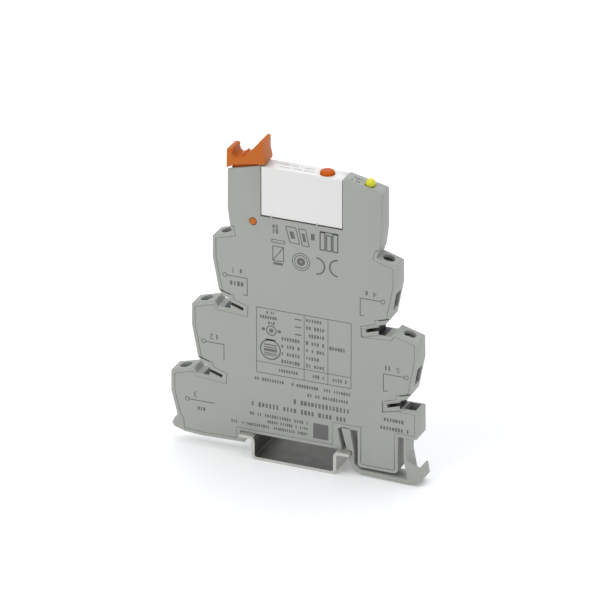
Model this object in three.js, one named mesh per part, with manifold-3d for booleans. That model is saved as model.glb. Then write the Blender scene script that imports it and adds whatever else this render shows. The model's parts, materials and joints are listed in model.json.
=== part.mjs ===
// Slim plug-in relay module for a 35 mm rail.
//
// Millimetres, +Z up.  X runs across the rail, Y along it, and the printed face looks to -Y.
// X = 0 is the rail's centre line and Z = 0 is the top of the rail's flanges.

import * as THREE from 'three';
import { mergeVertices } from 'three/addons/utils/BufferGeometryUtils.js';
import Module from 'manifold-3d';

const wasm = await Module();
wasm.setup();

// ---------------------------------------------------------------------------------------
// Driving dimensions
// ---------------------------------------------------------------------------------------

const HALF = 3.1;               // half of the 6.2 mm module width
const SKIN = 0.8;               // thickness of the back wall and of the cover
const INNER = HALF - SKIN;      // half of the width inside
const WALL = 1.0;               // wall along the outline
const GAP = 0.1;                // gap between fixed neighbours
const MIDLINE = 2.45;           // the upper body is symmetric about this X
const TIER_PITCH = [6.8, -23.1];
const TIER_TILT = THREE.MathUtils.degToRad(14);

const WINDOW = { left: -11.25, right: 14.5, floor: 71.0 };
const SHOULDER = { reach: 24.1, outerZ: 84.45, innerZ: 86.95, run: 11.7 };
const SHOULDER_SLOPE = Math.atan2(SHOULDER.innerZ - SHOULDER.outerZ, SHOULDER.run);
// Above the terminals the cover is as wide as the body.
const CROWN = { left: -26, right: 30, bottom: 66.2, top: 92 };
const PIVOT = { x: -13.65, z: 68.95, r: 1.0, hole: 1.2, boss: 1.7 };

const SCREW = { r: 1.25, head: 1.7, headTop: -1.3, headEnd: -2.7, tip: -8.2, hole: 1.9 };
const CAGE = { half: 2.15, inner: 1.68, top: -5.2, topEnd: -6.4, floor: -13.4, end: -14.0, depth: 2.1 };
const BAR = { top: -8.6, end: -9.3, half: 1.4 };
const ENTRY = { top: -9.0, end: -14.6, half: 1.9, start: 3, reach: 9 };

const SLIT_TILT = THREE.MathUtils.degToRad(18);
const FORK = { half: 0.95, leaf: 0.35, end: 5.3, width: 1.5 };

const RELAY = { left: -11.0, right: 14.25, bottom: 71.45, top: 86.75, half: 2.95, wall: 0.45 };
const PIN_X = { coil_pin_a: -7.9, coil_pin_b: -1.5, common_pin: 8.85, output_pin: 12.6 };
const PIN = { half: 0.25, width: 0.4, tip: 67.6, hole: 0.9 };
const BASE_TOP = 72.9;
const COIL = { z: 76.3, left: -9.3, right: 2.0, flange: 0.5 };
const BUTTON = { x: 8.5, r: 2.15, skirt: 86.2, foot: 84.55, stem: 0.7 };
const SHELF = { left: 6.2, right: 10.8, bottom: 84.0, top: 84.4 };
const SPRING = { turns: 3, r: 1.35, wire: 0.12, foot: 84.6, rise: 1.3 };
const YOKE = { back: -10.3, backEnd: -9.6, front: 2.6, bottom: 75.0, shelf: 79.6, top: 80.4, half: 1.9 };
const ARMATURE = { back: 2.75, front: 3.5, bottom: 74.0, neck: 81.0, top: 83.2, half: 1.8, tail: 0.6 };
const CARD = { left: 2.2, right: 8.6, bottom: 81.7, top: 83.2, half: 1.2, window: 0.75 };
const CONTACT = { z: 80.6, r: 0.7, half: 1.1, moving: 8.75, leaf: 0.2, fixed: 10.1, strip: 0.35, reach: 0.4 };
const WEDGE_SLOPE = 0.26 / 0.9;

const LAMP = { x: 21.8, z: 85.4, r: 1.5, collar: 0.35, stem: 1.15, stemEnd: -3.2, hole: 1.35 };

const BOARD = { left: -9, right: 12, near: 1.1, far: 2.1, bottom: 22, top: 58 };
const ON_BOARD = BOARD.near - 0.15;   // the far side of what is mounted on the board
const ROUND_PARTS_Y = -0.2;

const COLOURS = {
  housing: { color: 0xa3a49e, roughness: 0.5, metalness: 0 },
  relay: { color: 0xe4e3df, roughness: 0.35, metalness: 0 },
  lever: { color: 0xc96d33, roughness: 0.45, metalness: 0 },
  button: { color: 0xd75f19, roughness: 0.4, metalness: 0 },
  lamp: { color: 0xd7d728, roughness: 0.2, metalness: 0 },
  steel: { color: 0xb8bab8, roughness: 0.35, metalness: 1 },
  contact: { color: 0xc9c4ac, roughness: 0.3, metalness: 1 },
  copper: { color: 0xb4643a, roughness: 0.35, metalness: 1 },
  iron: { color: 0x8f9294, roughness: 0.4, metalness: 1 },
  moulding: { color: 0x2c2c2e, roughness: 0.55, metalness: 0 },
  board: { color: 0x2f6b45, roughness: 0.5, metalness: 0 },
  ceramic: { color: 0xcdb98e, roughness: 0.6, metalness: 0 },
  silver: { color: 0xd8d8d6, roughness: 0.25, metalness: 1 },
};

// ---------------------------------------------------------------------------------------
// Shape helpers
// ---------------------------------------------------------------------------------------

// A corner is [x, z] or [x, z, radius]; a corner with a radius becomes an arc of a few steps.
function outline(corners) {
  const points = [];
  corners.forEach((corner, i) => {
    const here = new THREE.Vector2(corner[0], corner[1]);
    const radius = corner[2];
    if (!radius) {
      points.push(here);
      return;
    }
    const before = corners[(i + corners.length - 1) % corners.length];
    const after = corners[(i + 1) % corners.length];
    const toBefore = new THREE.Vector2(before[0], before[1]).sub(here).normalize();
    const toAfter = new THREE.Vector2(after[0], after[1]).sub(here).normalize();
    const bend = Math.acos(THREE.MathUtils.clamp(toBefore.dot(toAfter), -1, 1));
    const reach = radius / Math.tan(bend / 2);
    const start = here.clone().addScaledVector(toBefore, reach);
    const end = here.clone().addScaledVector(toAfter, reach);
    const curve = new THREE.QuadraticBezierCurve(start, here, end);
    points.push(...curve.getPoints(4));
  });
  return points;
}

// Moves every side of a counter-clockwise outline inwards by the same distance.
function inset(points, distance) {
  const count = points.length;
  return points.map((point, i) => {
    const before = points[(i + count - 1) % count];
    const after = points[(i + 1) % count];
    const a = point.clone().sub(before).normalize();
    const b = after.clone().sub(point).normalize();
    const bisector = new THREE.Vector2(-a.y - b.y, a.x + b.x).normalize();
    const stretch = Math.max(bisector.dot(new THREE.Vector2(-a.y, a.x)), 0.3);
    return point.clone().addScaledVector(bisector, distance / stretch);
  });
}

// A plate in the XZ plane between two values of Y.
function plate(points, y0, y1) {
  const shape = new THREE.Shape(points);
  const geometry = new THREE.ExtrudeGeometry(shape, { depth: y1 - y0, bevelEnabled: false });
  geometry.rotateX(Math.PI / 2);
  geometry.translate(0, y1, 0);
  return geometry;
}

function box(x0, x1, y0, y1, z0, z1) {
  const geometry = new THREE.BoxGeometry(x1 - x0, y1 - y0, z1 - z0);
  geometry.translate((x0 + x1) / 2, (y0 + y1) / 2, (z0 + z1) / 2);
  return geometry;
}

// A round bar along Z, X or Y.
function barZ(x, y, z0, z1, radius, sides = 24) {
  const geometry = new THREE.CylinderGeometry(radius, radius, z1 - z0, sides);
  geometry.rotateX(Math.PI / 2);
  geometry.translate(x, y, (z0 + z1) / 2);
  return geometry;
}

function barX(x0, x1, z, radius, sides = 24) {
  const geometry = new THREE.CylinderGeometry(radius, radius, x1 - x0, sides);
  geometry.rotateZ(Math.PI / 2);
  geometry.translate((x0 + x1) / 2, 0, z);
  return geometry;
}

function barY(x, z, y0, y1, radius, sides = 32) {
  const geometry = new THREE.CylinderGeometry(radius, radius, y1 - y0, sides);
  geometry.translate(x, (y0 + y1) / 2, z);
  return geometry;
}

// A closed ring around the X axis line at height z.
function ringX(x0, x1, z, inner, outer, sides = 28) {
  const profile = [
    new THREE.Vector2(inner, x0),
    new THREE.Vector2(outer, x0),
    new THREE.Vector2(outer, x1),
    new THREE.Vector2(inner, x1),
    new THREE.Vector2(inner, x0),
  ];
  const geometry = new THREE.LatheGeometry(profile, sides);
  geometry.rotateZ(-Math.PI / 2);
  geometry.translate(0, 0, z);
  return geometry;
}

// A bent strip: the path lies in XZ, the thickness is across it and the width is along Y.
function strip(path, thickness, y0, y1) {
  const half = thickness / 2;
  const line = path.map(([x, z]) => new THREE.Vector2(x, z));
  const side = (sign) => line.map((point, i) => {
    const a = point.clone().sub(line[Math.max(i - 1, 0)]);
    const b = line[Math.min(i + 1, line.length - 1)].clone().sub(point);
    const first = (a.length() > 0 ? a : b).normalize();
    const second = (b.length() > 0 ? b : a).clone().normalize();
    const normal = new THREE.Vector2(-first.y - second.y, first.x + second.x).normalize();
    const stretch = normal.dot(new THREE.Vector2(-first.y, first.x));
    return point.clone().addScaledVector(normal, sign * half / stretch);
  });
  return plate([...side(1), ...side(-1).reverse()], y0, y1);
}

function solid(geometry) {
  const bare = geometry.index ? geometry.clone() : geometry;
  bare.deleteAttribute('normal');
  bare.deleteAttribute('uv');
  const merged = mergeVertices(bare, 1e-5);
  const mesh = new wasm.Mesh({
    numProp: 3,
    vertProperties: new Float32Array(merged.attributes.position.array),
    triVerts: new Uint32Array(merged.index.array),
  });
  return new wasm.Manifold(mesh);
}

function geometryOf(body) {
  const mesh = body.getMesh();
  const geometry = new THREE.BufferGeometry();
  geometry.setAttribute('position', new THREE.BufferAttribute(mesh.vertProperties, 3));
  geometry.setIndex(new THREE.BufferAttribute(mesh.triVerts, 1));
  return geometry;
}

function cut(geometry, ...tools) {
  return geometryOf(tools.reduce((body, tool) => body.subtract(solid(tool)), solid(geometry)));
}

function join(...geometries) {
  return geometryOf(geometries.map(solid).reduce((body, other) => body.add(other)));
}

function common(first, second) {
  return geometryOf(solid(first).intersect(solid(second)));
}

// ---------------------------------------------------------------------------------------
// The module and its pieces
// ---------------------------------------------------------------------------------------

const relayModule = new THREE.Group();
const finishes = Object.fromEntries(
  Object.entries(COLOURS).map(([name, look]) => [name, new THREE.MeshStandardMaterial(look)]),
);

function add(name, geometry, finish, parent = relayModule) {
  const mesh = new THREE.Mesh(geometry, finishes[finish]);
  mesh.name = name;
  parent.add(mesh);
  return mesh;
}

const across = (side, u) => MIDLINE + side * u;

// ---------------------------------------------------------------------------------------
// Housing and cover
// ---------------------------------------------------------------------------------------

const shifted = (list, steps) => list.map(([u, z, r]) => (
  [u + steps * TIER_PITCH[0], z + steps * TIER_PITCH[1], r]
));

// One side of the body, from the shoulder down, as [distance from the midline, z].
const TIER_EDGE = [[28.9, 62.3, 0.5], [28.9, 55.5, 1.5], [27.0, 45.2, 1.2], [25.6, 43.3], [23.3, 42.7]];
const SLIT_EDGE = [[23.3, 41.8], [19.1, 40.45], [19.4, 39.4], [23.3, 40.65]];
const STEP_EDGE = [[23.3, 39.5], [27.5, 39.6], [28.3, 41.1]];
const flank = [
  [SHOULDER.reach, SHOULDER.outerZ, 0.4], [SHOULDER.reach, 72.3, 2], [23.4, 66.5, 2], [22.5, 64.1],
  ...TIER_EDGE, ...SLIT_EDGE, ...STEP_EDGE,
  ...shifted(TIER_EDGE, 1).map(([u, z, r], i) => (i === 0 ? [35.7, 39.1, 0.5] : [u, z, r])),
  ...shifted(SLIT_EDGE, 1),
];
const lowerLeft = [
  ...shifted(STEP_EDGE, 1), [42.5, 16.1, 0.5], [42.5, 9.6, 1.5], [40.45, 1.4],
];

// The hollow inside the same side.
const TIER_ROOM = [[27.9, 61.5], [27.9, 55.4], [25.95, 45.2], [25.3, 44.5], [22.3, 43.9]];
const SLIT_ROOM = [[22.3, 42.6], [17.8, 41.2], [18.0, 37.8]];
const STEP_ROOM = [[27.4, 38.5], [28.4, 40.0]];
const room = [
  [23.1, 72.2], [22.4, 66.6], [21.6, 63.3],
  ...TIER_ROOM, ...SLIT_ROOM, ...STEP_ROOM,
  ...shifted(TIER_ROOM, 1).map(([u, z, r], i) => (i === 0 ? [34.7, 38.2] : [u, z, r])),
  ...shifted(SLIT_ROOM, 1),
];
const lowerLeftRoom = [...shifted(STEP_ROOM, 1), [41.4, 15.1], [41.4, 9.5], [39.5, 2.0], [38.6, 0.9]];

const place = (side, list) => list.map(([u, z, r]) => [across(side, u), z, r]);

const bodyOutline = outline([
  ...place(-1, [...flank, ...lowerLeft]),
  // the fixed hook that goes round the rail's left flange
  [-39.0, 0.6, 0.4], [-39.9, -1.2, 0.6], [-39.2, -2.4, 0.6], [-35.8, -3.4], [-30, -3.8],
  [-16.6, -3.5, 0.5], [-15.6, -2.3, 0.4], [-15.9, -1.35], [-18.0, -1.15], [-18.0, 0.15], [-15.2, 0.15],
  [-15.2, 0], [14.5, 0], [12.9, 6.9, 0.4], [14.0, 7.2],
  // the block inside the sprung foot
  [19.45, 7.2], [19.45, -4.6, 1.4], [32.1, -4.6, 1.4], [32.1, 7.6], [38.45, 7.6, 1.2], [38.45, 16.9, 0.4],
  ...place(1, [[30.9, 16.8], [30.1, 16.6]]),
  ...place(1, flank).reverse(),
  [WINDOW.right + 0.3, SHOULDER.innerZ], [WINDOW.left, SHOULDER.innerZ],
]);

const roomOutline = outline([
  [-20.65, 83.4], ...place(-1, [...room, ...lowerLeftRoom]),
  [-36, -2.4], [-30, -2.8], [-19.0, -2.6], [-19.0, 1.0],
  [11.7, 1.0], [11.7, 8.4], [20.4, 8.4], [20.4, -3.7, 0.8], [31.2, -3.7, 0.8], [31.2, 8.6],
  [37.45, 8.6], [37.45, 15.8], [32.0, 15.8],
  ...place(1, room).reverse(),
  [25.55, 83.5], [WINDOW.right + 0.8, 85.75], [WINDOW.right + 0.8, WINDOW.floor - WALL],
  [WINDOW.left - 0.8, WINDOW.floor - WALL], [WINDOW.left - 0.8, 85.6],
]);

// Where the cover lies: its rim follows the hollow, and above the terminals it is full width.
const crownAbove = (z) => outline([
  [CROWN.left, z], [CROWN.right, z], [CROWN.right, CROWN.top], [CROWN.left, CROWN.top],
]);
const slitFrame = (steps) => outline(place(1, shifted(
  [[23.6, 42.6], [17.3, 40.6], [17.9, 37.5], [24.6, 39.5]], steps,
)));

function relayWindow(y0, y1) {
  const { left, right, floor } = WINDOW;
  return plate(outline([[left, floor], [right, floor], [right, CROWN.top], [left, CROWN.top]]), y0, y1);
}

// A piece of a terminal, drawn in the frame of its screw: x outwards, z up the screw.
function atTerminal(mesh, side, hole) {
  mesh.rotation.y = side * TIER_TILT;
  mesh.position.set(across(side, hole[0]), 0, hole[1]);
}

const SCREW_HOLE = [25.35, 63.2];
const TERMINALS = [
  { side: -1, tier: 0 }, { side: -1, tier: 1 }, { side: -1, tier: 2 },
  { side: 1, tier: 0 }, { side: 1, tier: 1 },
].map(({ side, tier }) => ({
  side,
  tier,
  hole: [SCREW_HOLE[0] + tier * TIER_PITCH[0], SCREW_HOLE[1] + tier * TIER_PITCH[1]],
}));
const SLITS = [{ side: -1, tier: 0 }, { side: -1, tier: 1 }, { side: 1, tier: 0 }, { side: 1, tier: 1 }];

function placed(geometry, place3) {
  const carrier = new THREE.Object3D();
  place3(carrier);
  carrier.updateMatrix();
  return geometry.applyMatrix4(carrier.matrix);
}

const slitMouth = (tier) => [23.3 + tier * TIER_PITCH[0], 41.22 + tier * TIER_PITCH[1]];
function atSlit(object, side, tier) {
  const [u, z] = slitMouth(tier);
  object.rotation.y = -side * SLIT_TILT;
  object.position.set(across(side, u), 0, z);
}

function housingCuts() {
  const cuts = [
    plate(roomOutline, -INNER, INNER),
    plate(roomOutline, -HALF - 1, -INNER),
    plate(crownAbove(CROWN.bottom), -HALF - 1, -INNER),
    relayWindow(-HALF - 1, HALF + 1),
    // the lever swings out through the left shoulder and wall
    plate(outline([[-24, 71.5], [-12.4, 71.5], [-12.4, CROWN.top], [-24, CROWN.top]]), -INNER, INNER),
    plate(outline([[-12.8, 68.5], [-9.0, 68.5], [-9.0, 75], [-12.8, 75]]), -INNER, INNER),
    barY(PIVOT.x, PIVOT.z, -HALF - 1, HALF + 1, PIVOT.hole),
    box(33.8, 37.45, -INNER, INNER, 12, 20),
    box(LAMP.x - LAMP.hole, LAMP.x + LAMP.hole, -LAMP.hole, LAMP.hole, 80, 90),
  ];
  cuts.push(...Object.values(PIN_X).map((x) => (
    box(x - PIN.hole, x + PIN.hole, -PIN.hole, PIN.hole, 69, 72)
  )));
  TERMINALS.forEach(({ side, hole }) => {
    const well = barZ(0, 0, -4, 4, SCREW.hole, 28);
    cuts.push(placed(well, (carrier) => atTerminal(carrier, side, hole)));
    const [inner, outer] = [side * ENTRY.start, side * ENTRY.reach].sort((a, b) => a - b);
    const entry = box(inner, outer, -ENTRY.half, ENTRY.half, ENTRY.end, ENTRY.top);
    cuts.push(placed(entry, (carrier) => atTerminal(carrier, side, hole)));
  });
  SLITS.forEach(({ side, tier }) => {
    const half = FORK.half + GAP;
    const pocket = box(side > 0 ? -6 : -0.4, side > 0 ? 0.4 : 6, -1.7, 1.7, -half, half);
    cuts.push(placed(pocket, (carrier) => atSlit(carrier, side, tier)));
  });
  cuts.push(...[0, 1].map((tier) => plate(slitFrame(tier), -HALF - 1, -HALF + 0.35)));
  return cuts;
}

function housing() {
  return cut(plate(bodyOutline, -HALF, HALF), ...housingCuts());
}

function cover() {
  const low = plate(inset(roomOutline, GAP), -HALF, -INNER - GAP);
  const high = plate(crownAbove(CROWN.bottom + GAP), -HALF, -INNER - GAP);
  const body = common(join(low, high), plate(bodyOutline, -HALF, -INNER - GAP));
  const ticks = [-7.8, 6.5].map((x) => box(x - 0.35, x + 0.35, -HALF - 1, -INNER, 70.2, 72));
  return cut(
    body,
    relayWindow(-HALF - 1, 0),
    barY(PIVOT.x, PIVOT.z, -HALF - 1, 0, PIVOT.hole),
    ...ticks,
  );
}

// The foot is one sprung loop; its two roots stand a narrow gap below the housing.
function foot() {
  const loop = plate(outline([
    [14.15, 6.9], [16.1, 0.15], [17.65, 0.15], [17.65, -1.15], [16.6, -1.3], [16.6, -2.3, 0.4],
    [17.7, -5.1, 0.8], [18.9, -6.5, 0.6], [35.3, -7.5], [37.8, -7.2, 0.8], [40.0, -5.2, 0.6],
    [39.35, -1.7, 0.3], [38.8, -1.6], [38.9, -4.8], [37.4, -6.2], [36.3, -6.2], [36.1, -5.2],
    [34.75, 1.9], [34.75, 7.3], [34.0, 7.3], [34.0, 0.5], [35.2, -5.9], [20.4, -5.55, 0.8],
    [18.35, -3.9], [18.3, 0], [16.85, 6.9],
  ]), -HALF, HALF);
  const nearWall = plate(outline([
    [34.5, 0.3], [34.9, 0.3], [38.9, -1.65], [38.95, -4.9], [37.5, -6.4], [36.0, -6.4], [35.4, -5.0],
  ]), -HALF, -HALF + 1.0);
  return join(loop, nearWall);
}

add('base_housing', housing(), 'housing');
add('front_cover', cover(), 'housing');
add('din_foot', foot(), 'housing');

// ---------------------------------------------------------------------------------------
// Terminals
// ---------------------------------------------------------------------------------------

function clampScrew() {
  const head = barZ(0, 0, SCREW.headEnd, SCREW.headTop, SCREW.head, 24);
  const shank = barZ(0, 0, SCREW.tip, SCREW.headEnd + 0.2, SCREW.r, 20);
  const slot = box(-3, 3, -0.25, 0.25, SCREW.headTop - 0.7, SCREW.headTop + 1);
  return cut(join(head, shank), slot);
}

function clampCage() {
  const block = box(-CAGE.depth, CAGE.depth, -CAGE.half, CAGE.half, CAGE.end, CAGE.top);
  const passage = box(-4, 4, -CAGE.inner, CAGE.inner, CAGE.floor, CAGE.topEnd);
  const hole = barZ(0, 0, CAGE.topEnd - 1, CAGE.top + 1, SCREW.r + 0.2, 20);
  return cut(block, passage, hole);
}

// The tongue lies in the cage under the screw's tip, and a leg runs down beside the bridge slit.
function contactBar(side) {
  const z = (BAR.top + BAR.end) / 2;
  const path = [[side * 3.0, z], [side * -4.3, z], [side * -6.9, z - 2.4], [side * -6.9, z - 6.5]];
  return strip(path, BAR.top - BAR.end, -BAR.half, BAR.half);
}

TERMINALS.forEach(({ side, hole }, i) => {
  const number = i + 1;
  const pieces = [
    add(`clamp_screw_${number}`, clampScrew(), 'steel'),
    add(`clamp_cage_${number}`, clampCage(), 'steel'),
    add(`contact_bar_${number}`, contactBar(side), 'contact'),
  ];
  pieces.forEach((piece) => atTerminal(piece, side, hole));
});

// A two-leaf fork that takes the tooth of a plug-in bridge.
function bridgeContact(side) {
  const leaf = FORK.half - FORK.leaf / 2;
  const mouth = side * -0.5;
  const end = side * -FORK.end;
  const path = [[mouth, leaf], [end, leaf], [end, -leaf], [mouth, -leaf]];
  return strip(path, FORK.leaf, -FORK.width, FORK.width);
}

SLITS.forEach(({ side, tier }, i) => {
  const fork = add(`bridge_contact_${i + 1}`, bridgeContact(side), 'contact');
  atSlit(fork, side, tier);
});

// ---------------------------------------------------------------------------------------
// Circuit board, lamp and relay sockets
// ---------------------------------------------------------------------------------------

function socketContact(x) {
  const leaf = PIN.half + 0.25;
  const path = [[x - leaf, 69.6], [x - leaf, 64.6], [x + leaf, 64.6], [x + leaf, 69.6]];
  return strip(path, 0.3, -0.7, 0.7);
}

Object.entries(PIN_X).forEach(([name, x]) => {
  add(name.replace('pin', 'socket'), socketContact(x), 'contact');
});

add(
  'circuit_board',
  box(BOARD.left, BOARD.right, BOARD.near, BOARD.far, BOARD.bottom, BOARD.top),
  'board',
);
add('series_resistor', barX(-5, 1.5, 50, 0.95).translate(0, ROUND_PARTS_Y, 0), 'ceramic');
add('rectifier_diode', barX(-4.5, 0.5, 43, 0.9).translate(0, ROUND_PARTS_Y, 0), 'moulding');
add('smoothing_capacitor', box(3.5, 8.5, -1.5, ON_BOARD, 40, 46), 'ceramic');
add('output_transistor', box(-4, 1, -0.8, ON_BOARD, 31, 36), 'moulding');

function lampBody() {
  const profile = [new THREE.Vector2(0, 0), new THREE.Vector2(LAMP.r, 0)];
  for (let step = 0; step <= 6; step += 1) {
    const angle = step * Math.PI / 12;
    profile.push(new THREE.Vector2(LAMP.r * Math.cos(angle), LAMP.collar + LAMP.r * Math.sin(angle)));
  }
  const dome = new THREE.LatheGeometry(profile, 24);
  dome.rotateX(Math.PI / 2);
  dome.translate(0, 0, 0.25);
  return join(dome, barZ(0, 0, LAMP.stemEnd, 0.5, LAMP.stem, 20));
}

const lamp = add('indicator_lamp', lampBody(), 'lamp');
lamp.position.set(LAMP.x, 0, LAMP.z);
lamp.rotation.y = SHOULDER_SLOPE;

add('lamp_holder', box(LAMP.x - 3.6, LAMP.x + 2.0, -1.8, 1.8, 78.6, 80.2), 'moulding');

// ---------------------------------------------------------------------------------------
// Ejector lever
// ---------------------------------------------------------------------------------------

function ejectLever() {
  const thumb = plate(outline([
    [-21.9, 84.75], [-21.9, 90.7, 0.4], [-20.5, 91.0, 0.4], [-19.9, 88.6, 0.5], [-19.2, 88.0],
    [-17.9, 88.4], [-17.4, 89.2], [-16.9, 88.6], [-16.1, 89.1], [-12.2, 93.5, 1.0], [-11.4, 94.9, 0.5],
    [-10.4, 94.5, 0.3], [-10.55, 91.0, 1.0], [-9.95, 88.6, 0.4], [-10.0, 87.5], [-11.9, 87.2],
    [-12.9, 87.3], [-19.6, 86.0], [-20.8, 85.2],
  ]), -HALF + 0.05, HALF - 0.05);
  const hollow = plate(outline([
    [-20.2, 89.3], [-19.6, 88.9], [-17.0, 90.0], [-17.2, 91.5], [-20.4, 91.5],
  ]), -1.6, 1.6);
  const arm = plate(outline([
    [-14.9, 68.0], [-17.6, 76.0, 3], [-20.5, 84.0], [-20.5, 86.0], [-12.55, 88.0], [-12.55, 72.2, 1.5],
    [-11.6, 71.0], [-9.8, 71.1, 0.3], [-9.9, 70.0, 0.3], [-12.0, 67.9],
  ]), -INNER + 0.15, INNER - 0.15);
  const boss = barY(PIVOT.x, PIVOT.z, -INNER + 0.15, INNER - 0.15, PIVOT.boss);
  const pin = barY(PIVOT.x, PIVOT.z, -HALF + 0.03, HALF - 0.03, PIVOT.r);
  return join(cut(thumb, hollow), arm, boss, pin);
}

add('eject_lever', ejectLever(), 'lever');

// ---------------------------------------------------------------------------------------
// Plug-in relay
// ---------------------------------------------------------------------------------------

function relayCase() {
  const { left, right, bottom, top, half, wall } = RELAY;
  const hollow = box(left + wall, right - wall, -half + wall, half - wall, bottom - 1, top - wall);
  const shelf = box(SHELF.left, SHELF.right, -half + 0.1, half - 0.1, SHELF.bottom, SHELF.top);
  const shell = cut(box(left, right, -half, half, bottom, top), hollow);
  return cut(
    join(shell, shelf),
    barZ(BUTTON.x, 0, 85, top + 1, BUTTON.r + 0.12, 28),
    barZ(BUTTON.x, 0, 83, 85, BUTTON.stem + 0.25, 20),
  );
}

function relayBase() {
  const { left, right, bottom, half, wall } = RELAY;
  const inner = wall + GAP;
  const slab = box(left + inner, right - inner, -half + inner, half - inner, bottom, BASE_TOP);
  const holes = Object.values(PIN_X).map((x) => (
    box(x - 0.35, x + 0.35, -0.5, 0.5, bottom - 1, BASE_TOP + 1)
  ));
  return cut(slab, ...holes);
}

function bobbin() {
  const { left, right, flange, z } = COIL;
  const body = join(
    box(left, left + flange, -2.2, 2.2, 73.3, 79.3),
    box(right - flange, right, -2.2, 2.2, 73.3, 79.3),
    barX(left + 0.1, right - 0.1, z, 1.3),
  );
  return cut(body, barX(left - 1, right + 1, z, 0.95));
}

function yoke() {
  const { back, backEnd, front, bottom, shelf, top, half } = YOKE;
  return join(
    box(back, backEnd, -half, half, bottom, top),
    box(back, front, -half, half, shelf, top),
  );
}

// The card hangs on the armature's tail and has a sloping window for the test button's wedge.
function card() {
  const { left, right, bottom, top, half, window } = CARD;
  const body = box(left, right, -half, half, bottom, top);
  const tailWindow = box(ARMATURE.back - 0.25, ARMATURE.front + 0.1, -window, window, bottom - 1, top + 1);
  const slope = plate(outline([
    [7.2, 81.0], [7.91 - WEDGE_SLOPE, 81.0], [8.25 + 0.8 * WEDGE_SLOPE, 84.0], [7.2, 84.0],
  ]), -window, window);
  return cut(body, tailWindow, slope);
}

function armature() {
  const { back, front, bottom, neck, top, half, tail } = ARMATURE;
  return join(
    box(back, front, -half, half, bottom, neck + 0.3),
    box(back, front, -tail, tail, neck, top),
  );
}

function movingContact() {
  const { moving, leaf, half, reach, z, r } = CONTACT;
  const blade = box(moving, moving + leaf, -half, half, BASE_TOP + 0.15, 83.4);
  return join(blade, barX(moving + leaf / 2, moving + leaf + reach, z, r, 20));
}

function fixedContact() {
  const { fixed, strip: thickness, half, z, r } = CONTACT;
  const foot = PIN_X.output_pin;
  const path = [[fixed, z + 1], [fixed, 74.6], [foot, 73.6], [foot, BASE_TOP + 0.1]];
  return join(strip(path, thickness, -half, half), barX(fixed - 0.55, fixed - 0.05, z, r, 20));
}

function testButton() {
  const profile = [
    [0, 0], [BUTTON.r, 0], [BUTTON.r, 1.1], [BUTTON.r - 0.12, 1.35], [BUTTON.r - 0.4, 1.5], [0, 1.55],
  ].map(([r, z]) => new THREE.Vector2(r, z));
  const cap = new THREE.LatheGeometry(profile, 28);
  cap.rotateX(Math.PI / 2);
  cap.translate(BUTTON.x, 0, BUTTON.skirt);
  const stem = barZ(BUTTON.x, 0, BUTTON.foot, BUTTON.skirt + 0.3, BUTTON.stem, 20);
  const wedge = plate(outline([
    [7.85, 82.6], [8.02, 82.6], [8.02 + 2.1 * WEDGE_SLOPE, 84.7], [7.85, 84.7],
  ]), -0.6, 0.6);
  return join(cap, stem, wedge);
}

// A coil spring between the shelf and the button.
function buttonSpring() {
  const { turns, r, wire, rise } = SPRING;
  class Helix extends THREE.Curve {
    getPoint(t, target = new THREE.Vector3()) {
      const angle = t * 2 * Math.PI * turns;
      return target.set(r * Math.cos(angle), r * Math.sin(angle), t * rise);
    }
  }
  const section = new THREE.Shape(
    [...Array(6).keys()].map((i) => new THREE.Vector2(
      wire * Math.cos(i * Math.PI / 3),
      wire * Math.sin(i * Math.PI / 3),
    )),
  );
  const spring = new THREE.ExtrudeGeometry(section, { steps: 36, extrudePath: new Helix() });
  spring.translate(BUTTON.x, 0, SPRING.foot);
  return spring;
}

add('relay_case', relayCase(), 'relay');
add('relay_base', relayBase(), 'moulding');
add('bobbin', bobbin(), 'moulding');
add('coil_winding', ringX(COIL.left + 0.6, COIL.right - 0.6, COIL.z, 1.4, 2.25), 'copper');
add('coil_core', barX(-9.5, 2.05, COIL.z, 0.85), 'iron');
add('yoke', yoke(), 'iron');
add('armature', armature(), 'iron');
add('actuator_card', card(), 'moulding');
add('moving_contact', movingContact(), 'contact');
add('fixed_contact', fixedContact(), 'contact');
add('test_button', testButton(), 'button');
add('button_spring', buttonSpring(), 'steel');
Object.entries(PIN_X).forEach(([name, x]) => {
  add(name, box(x - PIN.half, x + PIN.half, -PIN.width, PIN.width, PIN.tip, BASE_TOP), 'silver');
});

export default relayModule;
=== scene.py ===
"""The looks of a slim plug-in relay module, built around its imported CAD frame.

Every piece is in metres in the frame's own axes: +Z up from the rail, -Y towards the printed face.
"""

import enum
import json
import logging
import math
from collections.abc import Callable, Sequence
from dataclasses import dataclass, field

import bmesh
import bpy
from mathutils import Matrix, Vector

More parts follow.
